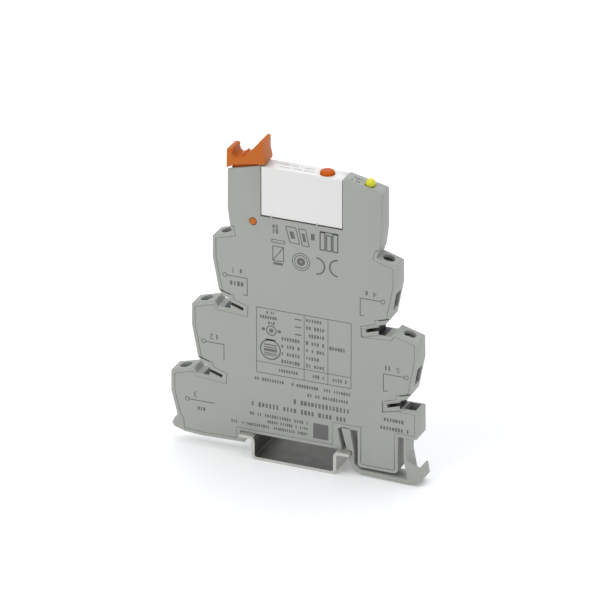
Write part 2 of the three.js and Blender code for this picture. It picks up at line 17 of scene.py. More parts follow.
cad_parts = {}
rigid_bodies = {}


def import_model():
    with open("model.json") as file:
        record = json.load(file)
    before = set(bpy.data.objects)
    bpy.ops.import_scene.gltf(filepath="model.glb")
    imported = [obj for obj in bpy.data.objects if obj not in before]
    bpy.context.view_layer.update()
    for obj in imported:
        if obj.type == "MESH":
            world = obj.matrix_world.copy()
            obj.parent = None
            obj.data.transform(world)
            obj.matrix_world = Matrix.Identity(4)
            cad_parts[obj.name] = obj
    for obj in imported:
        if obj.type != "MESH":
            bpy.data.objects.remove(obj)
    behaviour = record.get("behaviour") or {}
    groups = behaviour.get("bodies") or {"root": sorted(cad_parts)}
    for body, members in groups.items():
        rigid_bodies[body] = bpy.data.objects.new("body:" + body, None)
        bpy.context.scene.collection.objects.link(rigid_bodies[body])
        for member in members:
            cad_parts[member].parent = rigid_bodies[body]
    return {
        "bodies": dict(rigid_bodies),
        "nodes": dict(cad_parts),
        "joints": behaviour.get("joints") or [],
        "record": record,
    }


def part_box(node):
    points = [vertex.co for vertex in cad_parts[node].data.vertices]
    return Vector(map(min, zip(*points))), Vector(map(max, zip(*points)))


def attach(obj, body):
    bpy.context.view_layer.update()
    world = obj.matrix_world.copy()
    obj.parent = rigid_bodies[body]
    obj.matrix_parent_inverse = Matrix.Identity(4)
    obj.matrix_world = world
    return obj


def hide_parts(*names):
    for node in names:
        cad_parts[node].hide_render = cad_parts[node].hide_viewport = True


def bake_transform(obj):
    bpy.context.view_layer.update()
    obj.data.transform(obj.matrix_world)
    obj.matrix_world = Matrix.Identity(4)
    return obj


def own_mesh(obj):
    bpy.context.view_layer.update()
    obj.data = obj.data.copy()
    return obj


LOG = logging.getLogger("relay_module")
MM = 0.001
Point = tuple[float, float]
FLOAT = "NodeSocketFloat"
INTEGER = "NodeSocketInt"
COLOR = "NodeSocketColor"
VECTOR = "NodeSocketVector"

# How far the shoulder beside the relay falls over its length, as an angle.
SHOULDER_SLOPE = math.atan2(2.5, 11.7)


def mm(*values: float) -> Vector:
    """Returns a vector in metres from millimetres."""
    return Vector(values) * MM


# ----------------------------------------------------------------------------------------
# Shader node groups
# ----------------------------------------------------------------------------------------


class Nodes:
    """A small helper that adds and links nodes in one tree."""

    def __init__(self, tree: bpy.types.NodeTree) -> None:
        """Keeps the tree.

        Args:
            tree: The node tree to add to.
        """
        self.tree = tree

    def add(self, kind: str, inputs: dict | None = None, **settings: object) -> bpy.types.Node:
        """Adds a node.

        Args:
            kind: The node's type name.
            inputs: Socket names or numbers, with a value or an output socket to link.
            settings: Attributes of the node.

        Returns:
            The new node.
        """
        node = self.tree.nodes.new(kind)
        for name, value in settings.items():
            setattr(node, name, value)
        for name, value in (inputs or {}).items():
            socket = node.inputs[name]
            if isinstance(value, bpy.types.NodeSocket):
                self.tree.links.new(value, socket)
            else:
                socket.default_value = value
        return node

    def math(self, operation: str, first: object, second: object = 0.0) -> bpy.types.NodeSocket:
        """Adds a Math node and returns its result."""
        node = self.add("ShaderNodeMath", {0: first, 1: second}, operation=operation)
        return node.outputs[0]


def new_group(name: str, sockets: Sequence[tuple[str, str, str, float | None]]) -> bpy.types.NodeTree:
    """Makes a shader node group with named sockets.

    Args:
        name: The group's name.
        sockets: One (name, in or out, socket type, default) for each socket.

    Returns:
        The empty group tree.
    """
    tree = bpy.data.node_groups.new(name, "ShaderNodeTree")
    for label, side, kind, default in sockets:
        direction = "INPUT" if side == "in" else "OUTPUT"
        socket = tree.interface.new_socket(name=label, in_out=direction, socket_type=kind)
        if default is not None:
            socket.default_value = default
    return tree


def moulded_group() -> bpy.types.NodeTree:
    """Builds the moulded surface: eroded grain, slow tone drift and fine handling marks.

    Returns:
        The shader group.
    """
    tree = new_group("moulded_surface", [
        ("Base", "in", COLOR, None),
        ("Roughness", "in", FLOAT, 0.5),
        ("Grain", "in", FLOAT, 2600.0),
        ("Depth", "in", FLOAT, 0.2),
        ("Drift", "in", FLOAT, 0.05),
        ("Color", "out", COLOR, None),
        ("Rough", "out", FLOAT, None),
        ("Normal", "out", VECTOR, None),
    ])
    kit = Nodes(tree)
    given = kit.add("NodeGroupInput").outputs
    where = kit.add("ShaderNodeTexCoord").outputs["Object"]
    grain = kit.add("ShaderNodeTexNoise", {
        "Vector": where, "Scale": given["Grain"], "Detail": 3.0, "Roughness": 0.62,
    }).outputs["Fac"]
    pits = kit.add("ShaderNodeTexVoronoi", {"Vector": where, "Scale": given["Grain"]}).outputs["Distance"]
    slow = kit.add("ShaderNodeTexNoise", {
        "Vector": where, "Scale": 62.0, "Detail": 4.0, "Roughness": 0.55,
    }).outputs["Fac"]
    dust = kit.add("ShaderNodeTexNoise", {
        "Vector": where, "Scale": 480.0, "Detail": 5.0, "Roughness": 0.7,
    }).outputs["Fac"]
    drift = kit.math("MULTIPLY", kit.math("SUBTRACT", slow, 0.5), given["Drift"])
    speck = kit.math("MULTIPLY", kit.math("SUBTRACT", dust, 0.5), kit.math("MULTIPLY", given["Drift"], 0.45))
    value = kit.math("ADD", 1.0, kit.math("ADD", drift, speck))
    tone = kit.add("ShaderNodeHueSaturation", {"Color": given["Base"], "Value": value}).outputs["Color"]
    height = kit.math("ADD", kit.math("MULTIPLY", grain, 0.7), kit.math("MULTIPLY", pits, 0.3))
    bump = kit.add("ShaderNodeBump", {
        "Height": height, "Strength": given["Depth"], "Distance": 0.00004,
    }).outputs["Normal"]
    rough = kit.math("ADD", given["Roughness"], kit.math("MULTIPLY", kit.math("SUBTRACT", dust, 0.5), 0.18))
    kit.add("NodeGroupOutput", {"Color": tone, "Rough": rough, "Normal": bump})
    return tree


def metal_group() -> bpy.types.NodeTree:
    """Builds the plated metal surface: drawn lines, dull patches and shallow scratches.

    Returns:
        The shader group.
    """
    tree = new_group("plated_metal", [
        ("Base", "in", COLOR, None),
        ("Roughness", "in", FLOAT, 0.35),
        ("Lines", "in", FLOAT, 900.0),
        ("Color", "out", COLOR, None),
        ("Rough", "out", FLOAT, None),
        ("Normal", "out", VECTOR, None),
    ])
    kit = Nodes(tree)
    given = kit.add("NodeGroupInput").outputs
    where = kit.add("ShaderNodeTexCoord").outputs["Object"]
    drawn = kit.add("ShaderNodeMapping", {"Vector": where, "Scale": (1.0, 1.0, 0.08)}).outputs["Vector"]
    lines = kit.add("ShaderNodeTexNoise", {
        "Vector": drawn, "Scale": given["Lines"], "Detail": 4.0,
    }).outputs["Fac"]
    dull = kit.add("ShaderNodeTexNoise", {"Vector": where, "Scale": 300.0, "Detail": 3.0}).outputs["Fac"]
    value = kit.math("ADD", 0.86, kit.math("MULTIPLY", dull, 0.28))
    tone = kit.add("ShaderNodeHueSaturation", {"Color": given["Base"], "Value": value}).outputs["Color"]
    rough = kit.math("ADD", given["Roughness"], kit.math("MULTIPLY", kit.math("SUBTRACT", dull, 0.5), 0.3))
    bump = kit.add("ShaderNodeBump", {
        "Height": lines, "Strength": 0.25, "Distance": 0.00002,
    }).outputs["Normal"]
    kit.add("NodeGroupOutput", {"Color": tone, "Rough": rough, "Normal": bump})
    return tree


# ----------------------------------------------------------------------------------------
# Finishes
# ----------------------------------------------------------------------------------------


class Surface(enum.Enum):
    """Which shader group a finish uses."""

    MOULDED = "moulded_surface"
    METAL = "plated_metal"


@dataclass(frozen=True)
class Finish:
    """One finish of the module.

    Attributes:
        name: The material's name.
        base: Linear base colour.
        surface: The shader group.
        rough: Mean roughness.
        grain: Grain scale for moulded, line scale for metal.
        depth: Strength of the moulded grain.
        drift: How far a moulded tone wanders.
        metallic: 0 or 1.
        coat: Weight of the clear coat.
        subsurface: How much light passes through the skin.
        specular: Specular level.
    """

    name: str
    base: tuple[float, float, float]
    surface: Surface = Surface.MOULDED
    rough: float = 0.5
    grain: float = 2600.0
    depth: float = 0.2
    drift: float = 0.05
    metallic: float = 0.0
    coat: float = 0.0
    subsurface: float = 0.0
    specular: float = 0.5

    def material(self, groups: dict[str, bpy.types.NodeTree]) -> bpy.types.Material:
        """Builds the material.

        Args:
            groups: The shader groups by name.

        Returns:
            The new material.
        """
        material = bpy.data.materials.new(self.name)
        material.use_nodes = True
        kit = Nodes(material.node_tree)
        shader = material.node_tree.nodes["Principled BSDF"]
        group = kit.add("ShaderNodeGroup", node_tree=groups[self.surface.value])
        group.inputs["Base"].default_value = (*self.base, 1.0)
        group.inputs["Roughness"].default_value = self.rough
        if self.surface is Surface.MOULDED:
            group.inputs["Grain"].default_value = self.grain
            group.inputs["Depth"].default_value = self.depth
            group.inputs["Drift"].default_value = self.drift
        else:
            group.inputs["Lines"].default_value = self.grain
        links = material.node_tree.links
        links.new(group.outputs["Color"], shader.inputs["Base Color"])
        links.new(group.outputs["Rough"], shader.inputs["Roughness"])
        links.new(group.outputs["Normal"], shader.inputs["Normal"])
        shader.inputs["Metallic"].default_value = self.metallic
        shader.inputs["Coat Weight"].default_value = self.coat
        shader.inputs["Specular IOR Level"].default_value = self.specular
        if self.subsurface:
            shader.inputs["Subsurface Weight"].default_value = self.subsurface
            shader.inputs["Subsurface Radius"].default_value = (1.0, 0.8, 0.5)
            shader.inputs["Subsurface Scale"].default_value = 0.0006
        return material


METAL = Surface.METAL
FINISHES = (
    Finish("housing_grey", (0.362, 0.369, 0.339), rough=0.52, depth=0.32, grain=3000, specular=0.4),
    Finish("relay_white", (0.76, 0.755, 0.735), rough=0.33, depth=0.12, drift=0.02, subsurface=0.1),
    Finish("lever_orange", (0.53, 0.128, 0.010), rough=0.44, depth=0.22, drift=0.09, specular=0.28),
    Finish("button_orange", (0.56, 0.098, 0.002), rough=0.45, depth=0.12, drift=0.05, specular=0.1),
    Finish("lamp_yellow", (0.72, 0.69, 0.008), rough=0.2, depth=0.04, drift=0.03, subsurface=0.2, coat=0.25),
    Finish("print_grey", (0.125, 0.128, 0.122), rough=0.62, depth=0.3, drift=0.35, grain=5200),
    # dark_moulding: the relay's dark plastic parts; the same finish also lays painted shade in the slits and
    # under the relay case.
    Finish("dark_moulding", (0.022, 0.022, 0.025), rough=0.5, depth=0.3, drift=0.1),
    Finish("board_green", (0.018, 0.11, 0.045), rough=0.3, depth=0.1, drift=0.15, coat=0.3),
    Finish("component_tan", (0.52, 0.40, 0.22), rough=0.5, depth=0.25, drift=0.1),
    Finish("zinc_steel", (0.60, 0.61, 0.60), METAL, rough=0.33, metallic=1.0),
    Finish("contact_tin", (0.70, 0.67, 0.56), METAL, rough=0.28, metallic=1.0),
    Finish("winding_copper", (0.62, 0.24, 0.09), METAL, rough=0.36, metallic=1.0),
    Finish("soft_iron", (0.36, 0.36, 0.37), METAL, rough=0.4, metallic=1.0),
    Finish("pin_tin", (0.74, 0.74, 0.72), METAL, rough=0.25, metallic=1.0),
    Finish("rail_zinc", (0.56, 0.56, 0.52), METAL, rough=0.42, grain=500, metallic=0.7),
    # Painted shade: a dark finish for the inside of the rail's channel, where the housing shades it.
    Finish("rail_painted_shade", (0.060, 0.058, 0.050), METAL, rough=0.5, grain=500, metallic=0.1),
    Finish("relay_print", (0.42, 0.40, 0.38), rough=0.6, depth=0.2, drift=0.3),
)

SLOT_FINISH = {
    "housing_plastic": "housing_grey",
    "relay_plastic": "relay_white",
    "lever_plastic": "lever_orange",
    "button_plastic": "button_orange",
    "lamp_lens": "lamp_yellow",
    "zinc_steel": "zinc_steel",
    "contact_metal": "contact_tin",
    "copper_wire": "winding_copper",
    "soft_iron": "soft_iron",
    "dark_moulding": "dark_moulding",
    "board_laminate": "board_green",
    "component_ceramic": "component_tan",
    "pin_silver": "pin_tin",
}


# ----------------------------------------------------------------------------------------
# Mesh and Geometry Nodes helpers
# ----------------------------------------------------------------------------------------


def new_object(name: str, mesh: bpy.types.Mesh) -> bpy.types.Object:
    """Links a new object at the origin.

    Args:
        name: The object's name.
        mesh: Its mesh.

    Returns:
        The new object.
    """
    piece = bpy.data.objects.new(name, mesh)
    bpy.context.scene.collection.objects.link(piece)
    return piece


def from_bmesh(name: str, shape: bmesh.types.BMesh) -> bpy.types.Object:
    """Turns a bmesh into an object and frees it.

    Args:
        name: The object's name.
        shape: The closed shape, whose faces are turned outwards.

    Returns:
        The new object.
    """
    mesh = bpy.data.meshes.new(name)
    bmesh.ops.recalc_face_normals(shape, faces=shape.faces)
    shape.to_mesh(mesh)
    shape.free()
    return new_object(name, mesh)


def block(name: str, size: Vector, centre: Vector) -> bpy.types.Object:
    """Makes a plain block.

    Args:
        name: The object's name.
        size: Its three sizes in metres.
        centre: Its middle in metres.

    Returns:
        The new object.
    """
    shape = bmesh.new()
    bmesh.ops.create_cube(shape, size=1.0)
    bmesh.ops.scale(shape, verts=shape.verts, vec=size)
    bmesh.ops.translate(shape, verts=shape.verts, vec=centre)
    return from_bmesh(name, shape)


def baked(piece: bpy.types.Object) -> bpy.types.Object:
    """Replaces a piece's modifiers by the mesh that they give.

    Args:
        piece: The piece with live modifiers.

    Returns:
        The same piece, without modifiers.
    """
    bpy.context.view_layer.update()
    graph = bpy.context.evaluated_depsgraph_get()
    mesh = bpy.data.meshes.new_from_object(piece.evaluated_get(graph))
    piece.modifiers.clear()
    piece.data = mesh
    mesh.name = piece.name
    return piece


def smooth(piece: bpy.types.Object, angle: float = 32.0) -> bpy.types.Object:
    """Shades a piece smooth.

    Args:
        piece: The piece.
        angle: Edges that turn by more than this many degrees stay sharp.

    Returns:
        The same piece.
    """
    piece.data.shade_smooth()
    piece.data.set_sharp_from_angle(angle=math.radians(angle))
    return piece


def refined(source: bpy.types.Object, name: str, bevel: float, segments: int = 2) -> bpy.types.Object:
    """Copies a CAD node with flat faces made whole and its edges rounded.

    Args:
        source: The CAD node.
        name: The new piece's name.
        bevel: Edge radius in millimetres.
        segments: Steps across each rounded edge.

    Returns:
        The new piece, at the origin.
    """
    shape = bmesh.new()
    shape.from_mesh(source.data)
    bmesh.ops.remove_doubles(shape, verts=shape.verts, dist=2e-6)
    bmesh.ops.dissolve_degenerate(shape, dist=0.18 * MM, edges=shape.edges)
    bmesh.ops.dissolve_limit(
        shape, angle_limit=math.radians(1.0), verts=shape.verts, edges=shape.edges,
    )
    mesh = bpy.data.meshes.new(name)
    shape.to_mesh(mesh)
    shape.free()
    piece = new_object(name, mesh)
    rounding = piece.modifiers.new("rounding", "BEVEL")
    rounding.width = bevel * MM
    rounding.segments = segments
    rounding.limit_method = "ANGLE"
    rounding.angle_limit = math.radians(33)
    baked(piece)
    return smooth(piece, 38)


def geometry_tree(name: str, sockets: Sequence[tuple[str, str, object]]) -> bpy.types.NodeTree:
    """Makes a Geometry Nodes tree with named inputs and one geometry output.

    Args:
        name: The tree's name.
        sockets: One (name, socket type, default) for each input.

    Returns:
        The empty tree.
    """
    tree = bpy.data.node_groups.new(name, "GeometryNodeTree")
    for label, kind, default in sockets:
        socket = tree.interface.new_socket(name=label, in_out="INPUT", socket_type=kind)
        socket.default_value = default
    tree.interface.new_socket(name="Geometry", in_out="OUTPUT", socket_type="NodeSocketGeometry")
    return tree


def close_tree(kit: Nodes, geometry: bpy.types.NodeSocket, material: bpy.types.Material) -> None:
    """Ends a Geometry Nodes tree in Realize Instances and Set Material.

    Args:
        kit: The helper that holds the tree.
        geometry: The socket with the finished geometry.
        material: What the geometry is made of.
    """
    real = kit.add("GeometryNodeRealizeInstances", {"Geometry": geometry})
    dressed = kit.add("GeometryNodeSetMaterial", {"Geometry": real.outputs[0], "Material": material})
    kit.add("NodeGroupOutput", {"Geometry": dressed.outputs[0]})


def grown(name: str, tree: bpy.types.NodeTree, values: dict[str, object]) -> bpy.types.Object:
    """Evaluates a Geometry Nodes tree into a plain mesh.

    Args:
        name: The new piece's name.
        tree: The tree.
        values: Values of its named inputs.

    Returns:
        The new piece, without modifiers.
    """
    piece = new_object(name, bpy.data.meshes.new(name))
    modifier = piece.modifiers.new("growth", "NODES")
    modifier.node_group = tree
    for item in tree.interface.items_tree:
        if item.in_out == "INPUT" and item.name in values:
            modifier[item.identifier] = values[item.name]
    return baked(piece)


def joined(name: str, pieces: Sequence[bpy.types.Object]) -> bpy.types.Object:
    """Joins pieces into one mesh, keeping each one's material.

    Args:
        name: The new piece's name.
        pieces: The pieces, which are used up.

    Returns:
        The new piece.
    """
    shape = bmesh.new()
    materials: list[bpy.types.Material] = []
    for piece in pieces:
        start = len(shape.faces)
        shape.from_mesh(piece.data)
        shape.faces.ensure_lookup_table()
        own = [slot.material for slot in piece.material_slots]
        for material in own:
            if material not in materials:
                materials.append(material)
        for face in shape.faces[start:]:
            if own:
                face.material_index = materials.index(own[min(face.material_index, len(own) - 1)])
    mesh = bpy.data.meshes.new(name)
    shape.to_mesh(mesh)
    shape.free()
    for material in materials:
        mesh.materials.append(material)
    for piece in pieces:
        bpy.data.objects.remove(piece)
    return new_object(name, mesh)


def paint(piece: bpy.types.Object, material: bpy.types.Material) -> bpy.types.Object:
    """Gives a piece one material.

    Args:
        piece: The piece.
        material: What it is made of.

    Returns:
        The same piece.
    """
    piece.data.materials.clear()
    piece.data.materials.append(material)
    return piece


def outward(piece: bpy.types.Object) -> bpy.types.Object:
    """Points every face of a closed piece outwards.

    Args:
        piece: The piece.

    Returns:
        The same piece.
    """
    shape = bmesh.new()
    shape.from_mesh(piece.data)
    bmesh.ops.recalc_face_normals(shape, faces=shape.faces)
    shape.to_mesh(piece.data)
    shape.free()
    return piece


# ----------------------------------------------------------------------------------------
# The workshop: the frame with its finishes
# ----------------------------------------------------------------------------------------


class Workshop:
    """Holds the frame and the finishes, and reports each piece that is made."""

    def __init__(self, frame: dict) -> None:
        """Builds every finish.
        """
        self.frame = frame
        self.nodes: dict[str, bpy.types.Object] = frame["nodes"]
        groups = {"moulded_surface": moulded_group(), "plated_metal": metal_group()}
        self.finish = {finish.name: finish.material(groups) for finish in FINISHES}
        self.slot_of = {part["node"]: part["material_slot"] for part in frame["record"]["subparts"]}

    def dress_nodes(self) -> None:
        """Gives every CAD node the finish of its slot."""
        for name, node in self.nodes.items():
            paint(node, self.finish[SLOT_FINISH[self.slot_of[name]]])
            smooth(node, 30)

    def stand_for(self, piece: bpy.types.Object, body: str, slot: str, *replaced: str) -> bpy.types.Object:
        """Paints a new piece, ties it to its body and hides the nodes that it stands for.

        Args:
            piece: The new piece.
            body: The body that it rides on.
            slot: The record's material slot.
            replaced: CAD nodes that it replaces.

        Returns:
            The same piece.
        """
        if not piece.data.materials:
            paint(piece, self.finish[SLOT_FINISH[slot]])
        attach(piece, body)
        if replaced:
            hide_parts(*replaced)
        LOG.info("%s rides on %s, %d faces", piece.name, body, len(piece.data.polygons))
        return piece


# ----------------------------------------------------------------------------------------
# Housing, cover and foot
# ----------------------------------------------------------------------------------------


@dataclass
class Enclosure:
    """The housing, its cover and the sprung foot.

    Attributes:
        shop: The workshop.
        edge: Edge radius of the mouldings in millimetres.
        root_gap: Height of the slit above the foot's legs in the frame, in millimetres.
        tab_places: Where tabs stand across the gap under the relay, along X in millimetres.
        tab_size: The three sizes of a tab in millimetres.
        tab_level: Y and Z of a tab's middle in millimetres.
        leg_width: How far the inner leg reaches from the foot's inner end, in millimetres.
        bend_x: X of the line along which the legs bend, in millimetres. Not used.
        bend_foot: Z where the bending ends, in millimetres. Not used.
        cuts: How many cuts cross the legs.
        cut_pitch: Height between two cuts in millimetres.
    """

    shop: Workshop
    edge: float = 0.13
    root_gap: float = 0.29
    tab_places: tuple[float, ...] = (-7.8, 6.5)
    tab_size: tuple[float, float, float] = (0.66, 0.11, 1.5)
    tab_level: Point = (-3.035, 70.9)
    leg_width: float = 4.0
    bend_x: float = 26.0
    bend_foot: float = -1.0
    cuts: int = 7
    cut_pitch: float = 1.15

    def tab(self, x: float) -> bpy.types.Object:
        """Makes one small tab that stands across the gap under the relay."""
        tab = block("tab", mm(*self.tab_size), mm(x, *self.tab_level))
        return paint(tab, self.shop.finish["housing_grey"])

    def build(self) -> None:
        """Builds the three mouldings."""
        nodes = self.shop.nodes
        shell = refined(nodes["base_housing"], "housing_shell", self.edge)
        self.shop.stand_for(shell, "root", "housing_plastic", "base_housing")
        plate = refined(nodes["front_cover"], "cover_body", self.edge)
        paint(plate, self.shop.finish["housing_grey"])
        cover = joined("cover_plate", [plate, *[self.tab(x) for x in self.tab_places]])
        smooth(cover, 38)
        self.shop.stand_for(cover, "root", "housing_plastic", "front_cover")
        self.foot()

    def foot(self) -> None:
        """Builds the foot with the slit above its legs closed and its legs cut into short stretches."""
        low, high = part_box("din_foot")
        piece = refined(self.shop.nodes["din_foot"], "sprung_foot", self.edge)
        for vertex in piece.data.vertices:
            if vertex.co.z > high.z - 0.6 * MM:
                vertex.co.z += self.root_gap * MM
        for vertex in piece.data.vertices:
            is_leg_top = vertex.co.x < low.x + self.leg_width * MM and vertex.co.z > high.z - 1.0 * MM
            if is_leg_top and vertex.co.z < high.z - 0.1 * MM:
                vertex.co.z += self.root_gap * MM
        self.bend_ready(piece)
        paint(piece, self.shop.finish["housing_grey"])
        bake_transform(piece)
        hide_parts("din_foot")
        LOG.info("sprung_foot bends between root and foot")

    def bend_ready(self, piece: bpy.types.Object) -> None:
        """Cuts the legs into short stretches at even heights.

        Args:
            piece: The foot.
        """
        lowest = -0.6
        shape = bmesh.new()
        shape.from_mesh(piece.data)
        for step in range(self.cuts):
            level = (lowest + step * self.cut_pitch) * MM
            bmesh.ops.bisect_plane(
                shape,
                geom=shape.verts[:] + shape.edges[:] + shape.faces[:],
                plane_co=(0, 0, level),
                plane_no=(0, 0, 1),
            )
        shape.to_mesh(piece.data)
        shape.free()


# ----------------------------------------------------------------------------------------
# Printed marks
# ----------------------------------------------------------------------------------------


def dash_tree(ink: bpy.types.Material) -> bpy.types.NodeTree:
    """Builds the tree that lays one row of short printed bars with word gaps.

    Args:
        ink: The material of the bars.

    Returns:
        The Geometry Nodes tree.
    """
    tree = geometry_tree("dash_row", [
        ("Count", INTEGER, 10),
        ("Pitch", FLOAT, 1.0),
        ("Height", FLOAT, 1.0),
        ("Thickness", FLOAT, 0.02),
        ("Left", FLOAT, 0.0),
        ("Level", FLOAT, 0.0),
        ("Face", FLOAT, 0.0),
        ("Seed", INTEGER, 1),
    ])
    kit = Nodes(tree)
    given = kit.add("NodeGroupInput").outputs
    step = kit.add("ShaderNodeCombineXYZ", {"X": given["Pitch"]}).outputs[0]
    start = kit.add("ShaderNodeCombineXYZ", {
        "X": given["Left"], "Y": given["Face"], "Z": given["Level"],
    }).outputs[0]
    line = kit.add("GeometryNodeMeshLine", {
        "Count": given["Count"], "Start Location": start, "Offset": step,
    }).outputs[0]
    gaps = kit.add(
        "FunctionNodeRandomValue", {"Probability": 0.16, "Seed": given["Seed"]}, data_type="BOOLEAN",
    )
    words = kit.add("GeometryNodeDeleteGeometry", {"Geometry": line, "Selection": gaps.outputs[3]})
    width = kit.math("MULTIPLY", given["Pitch"], 0.78)
    size = kit.add("ShaderNodeCombineXYZ", {
        "X": width, "Y": given["Thickness"], "Z": given["Height"],
    }).outputs[0]
    bar = kit.add("GeometryNodeMeshCube", {"Size": size}).outputs[0]
    spread = kit.add("FunctionNodeRandomValue", {"Seed": given["Seed"]}, data_type="FLOAT_VECTOR")
    spread.inputs[0].default_value = (0.5, 1.0, 0.72)
    spread.inputs[1].default_value = (1.05, 1.0, 1.0)
    laid = kit.add("GeometryNodeInstanceOnPoints", {
        "Points": words.outputs[0], "Instance": bar, "Scale": spread.outputs[0],
    }).outputs[0]
    close_tree(kit, laid, ink)
    return tree


@dataclass(frozen=True)
class BarRow:
    """One row of printed bars that stands for a line of text, in millimetres.

    Attributes:
        left: X of the first bar.
        level: Z of the row.
        count: How many places for bars it has.
        pitch: From one bar to the next.
        height: Height of the tallest bar.
        seed: Which bars are left out and how tall the others are.
        face: Y of the row.
        film: Thickness of the print.
    """

    left: float
    level: float
    count: int
    pitch: float
    height: float
    seed: int
    face: float = 0.0
    film: float = 0.02

    def lay(self, tree: bpy.types.NodeTree) -> bpy.types.Object:
        """Lays the row.

        Args:
            tree: The tree from dash_tree.

        Returns:
            The bars as one plain mesh.
        """
        return grown("bar_row", tree, {
            "Count": self.count,
            "Pitch": self.pitch * MM,
            "Height": self.height * MM,
            "Thickness": self.film * MM,
            "Left": self.left * MM,
            "Level": self.level * MM,
            "Face": self.face * MM,
            "Seed": self.seed,
        })


@dataclass
class Printing:
    """Generic marks on the cover: bars, rules, rings and terminal signs, all in millimetres.

    Attributes:
        shop: The workshop.
        film: Thickness of the print.
        rule: Width of a printed line.
        lead: Length of the lead beside a terminal's ring.
        bar_pitch: From one bar to the next in a row, as a share of the row's height.
        made: The marks made so far.
        face: Y of the cover's face, read from the frame.
        tree: The tree that lays a row of bars.
    """

    shop: Workshop
    film: float = 0.02
    rule: float = 0.26
    lead: float = 7.1
    bar_pitch: float = 0.68
    made: list[bpy.types.Object] = field(default_factory=list)
    face: float = field(init=False)
    tree: bpy.types.NodeTree = field(init=False)

    def __post_init__(self) -> None:
        """Finds the cover's face and builds the tree for rows of bars."""
        self.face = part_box("front_cover")[0].y / MM
        self.tree = dash_tree(self.shop.finish["print_grey"])

    def build(self) -> None:
        """Prints everything and joins it into one piece on the cover."""
        self.terminal_signs()
        self.approval_marks()
        self.table()
        self.text_block()
        self.shoulder_row()
        marks = joined("printed_marks", self.made)
        self.shop.stand_for(marks, "root", "housing_plastic")

    def keep(self, name: str, shape: bmesh.types.BMesh) -> None:
        """Stores a flat shape as a thin film of ink.

        Args:
            name: The mark's name.
            shape: Its flat faces, drawn in X and Z.
        """
        faces = shape.faces[:]
        moved = bmesh.ops.extrude_face_region(shape, geom=faces)["geom"]
        corners = [item for item in moved if isinstance(item, bmesh.types.BMVert)]
        bmesh.ops.translate(shape, verts=corners, vec=(0, self.film, 0))
        bmesh.ops.translate(shape, verts=shape.verts, vec=(0, self.face - self.film * 0.6, 0))
        bmesh.ops.scale(shape, verts=shape.verts, vec=(MM, MM, MM))
        self.made.append(paint(from_bmesh(name, shape), self.shop.finish["print_grey"]))

    def quad(self, corners: Sequence[Point]) -> None:
        """Prints a filled outline.

        Args:
            corners: The outline as (x, z).
        """
        shape = bmesh.new()
        shape.faces.new([shape.verts.new((x, 0, z)) for x, z in corners])
        self.keep("mark", shape)

    def line(self, start: Point, end: Point, width: float | None = None) -> None:
        """Prints a straight rule.

        Args:
            start: One end as (x, z).
            end: The other end.
            width: Width of the rule, or None for the usual one.
        """
        along = (Vector(end) - Vector(start)).normalized()
        side = Vector((-along.y, along.x)) * (width or self.rule) / 2
        ends = (Vector(start), Vector(end))
        self.quad([ends[0] + side, ends[0] - side, ends[1] - side, ends[1] + side])

    def path(self, points: Sequence[Point], width: float | None = None) -> None:
        """Prints a bent rule."""
        for start, end in zip(points, points[1:]):
            self.line(start, end, width)

    def ring(self, centre: Point, radius: float, width: float | None = None, steps: int = 24) -> None:
        """Prints a ring.

        Args:
            centre: Its middle as (x, z).
            radius: Radius of the middle of its line.
            width: Width of its line, or None for the usual one.
            steps: Sides of the ring.
        """
        shape = bmesh.new()
        half = (width or self.rule) / 2
        loops = []
        for reach in (radius - half, radius + half):
            turn = [2 * math.pi * step / steps for step in range(steps)]
            loops.append([
                shape.verts.new((centre[0] + reach * math.cos(a), 0, centre[1] + reach * math.sin(a)))
                for a in turn
            ])
        for step in range(steps):
            after = (step + 1) % steps
            shape.faces.new((loops[0][step], loops[1][step], loops[1][after], loops[0][after]))
        self.keep("ring", shape)

    def frame_box(self, low: Point, high: Point, width: float | None = None) -> None:
        """Prints the four rules of a box."""
        self.path([low, (high[0], low[1]), high, (low[0], high[1]), low], width)

    def dashes(self, left: float, right: float, level: float, height: float, seed: int) -> None:
        """Prints one row of bars on the cover.

        Args:
            left: X of the row's start.
            right: X of its end.
            level: Z of the row.
            height: Height of its bars.
            seed: Which bars are left out.
        """
        pitch = height * self.bar_pitch
        count = max(1, int((right - left) / pitch))
        face = self.face - self.film * 0.1
        self.made.append(BarRow(left, level, count, pitch, height, seed, face, self.film).lay(self.tree))

    def numeral(self, text: str, centre: Point, height: float) -> None:
        """Prints a terminal number, turned the way the rest of the print reads.

        Args:
            text: The number.
            centre: Its middle as (x, z).
            height: Its height.
        """
        curve = bpy.data.curves.new("numeral", "FONT")
        curve.body = text
        curve.size = height * 1.35 * MM
        curve.extrude = self.film * 0.5 * MM
        curve.align_x = "CENTER"
        curve.align_y = "CENTER"
        source = bpy.data.objects.new("numeral", curve)
        bpy.context.scene.collection.objects.link(source)
        bpy.context.view_layer.update()
        graph = bpy.context.evaluated_depsgraph_get()
        mesh = bpy.data.meshes.new_from_object(source.evaluated_get(graph))
        bpy.data.objects.remove(source)
        upright = Matrix.Rotation(math.pi / 2, 4, "X")
        turned = Matrix.Rotation(math.pi, 4, "Y")
        mesh.transform(Matrix.Translation(mm(centre[0], self.face, centre[1])) @ turned @ upright)
        self.made.append(paint(new_object("numeral", mesh), self.shop.finish["print_grey"]))

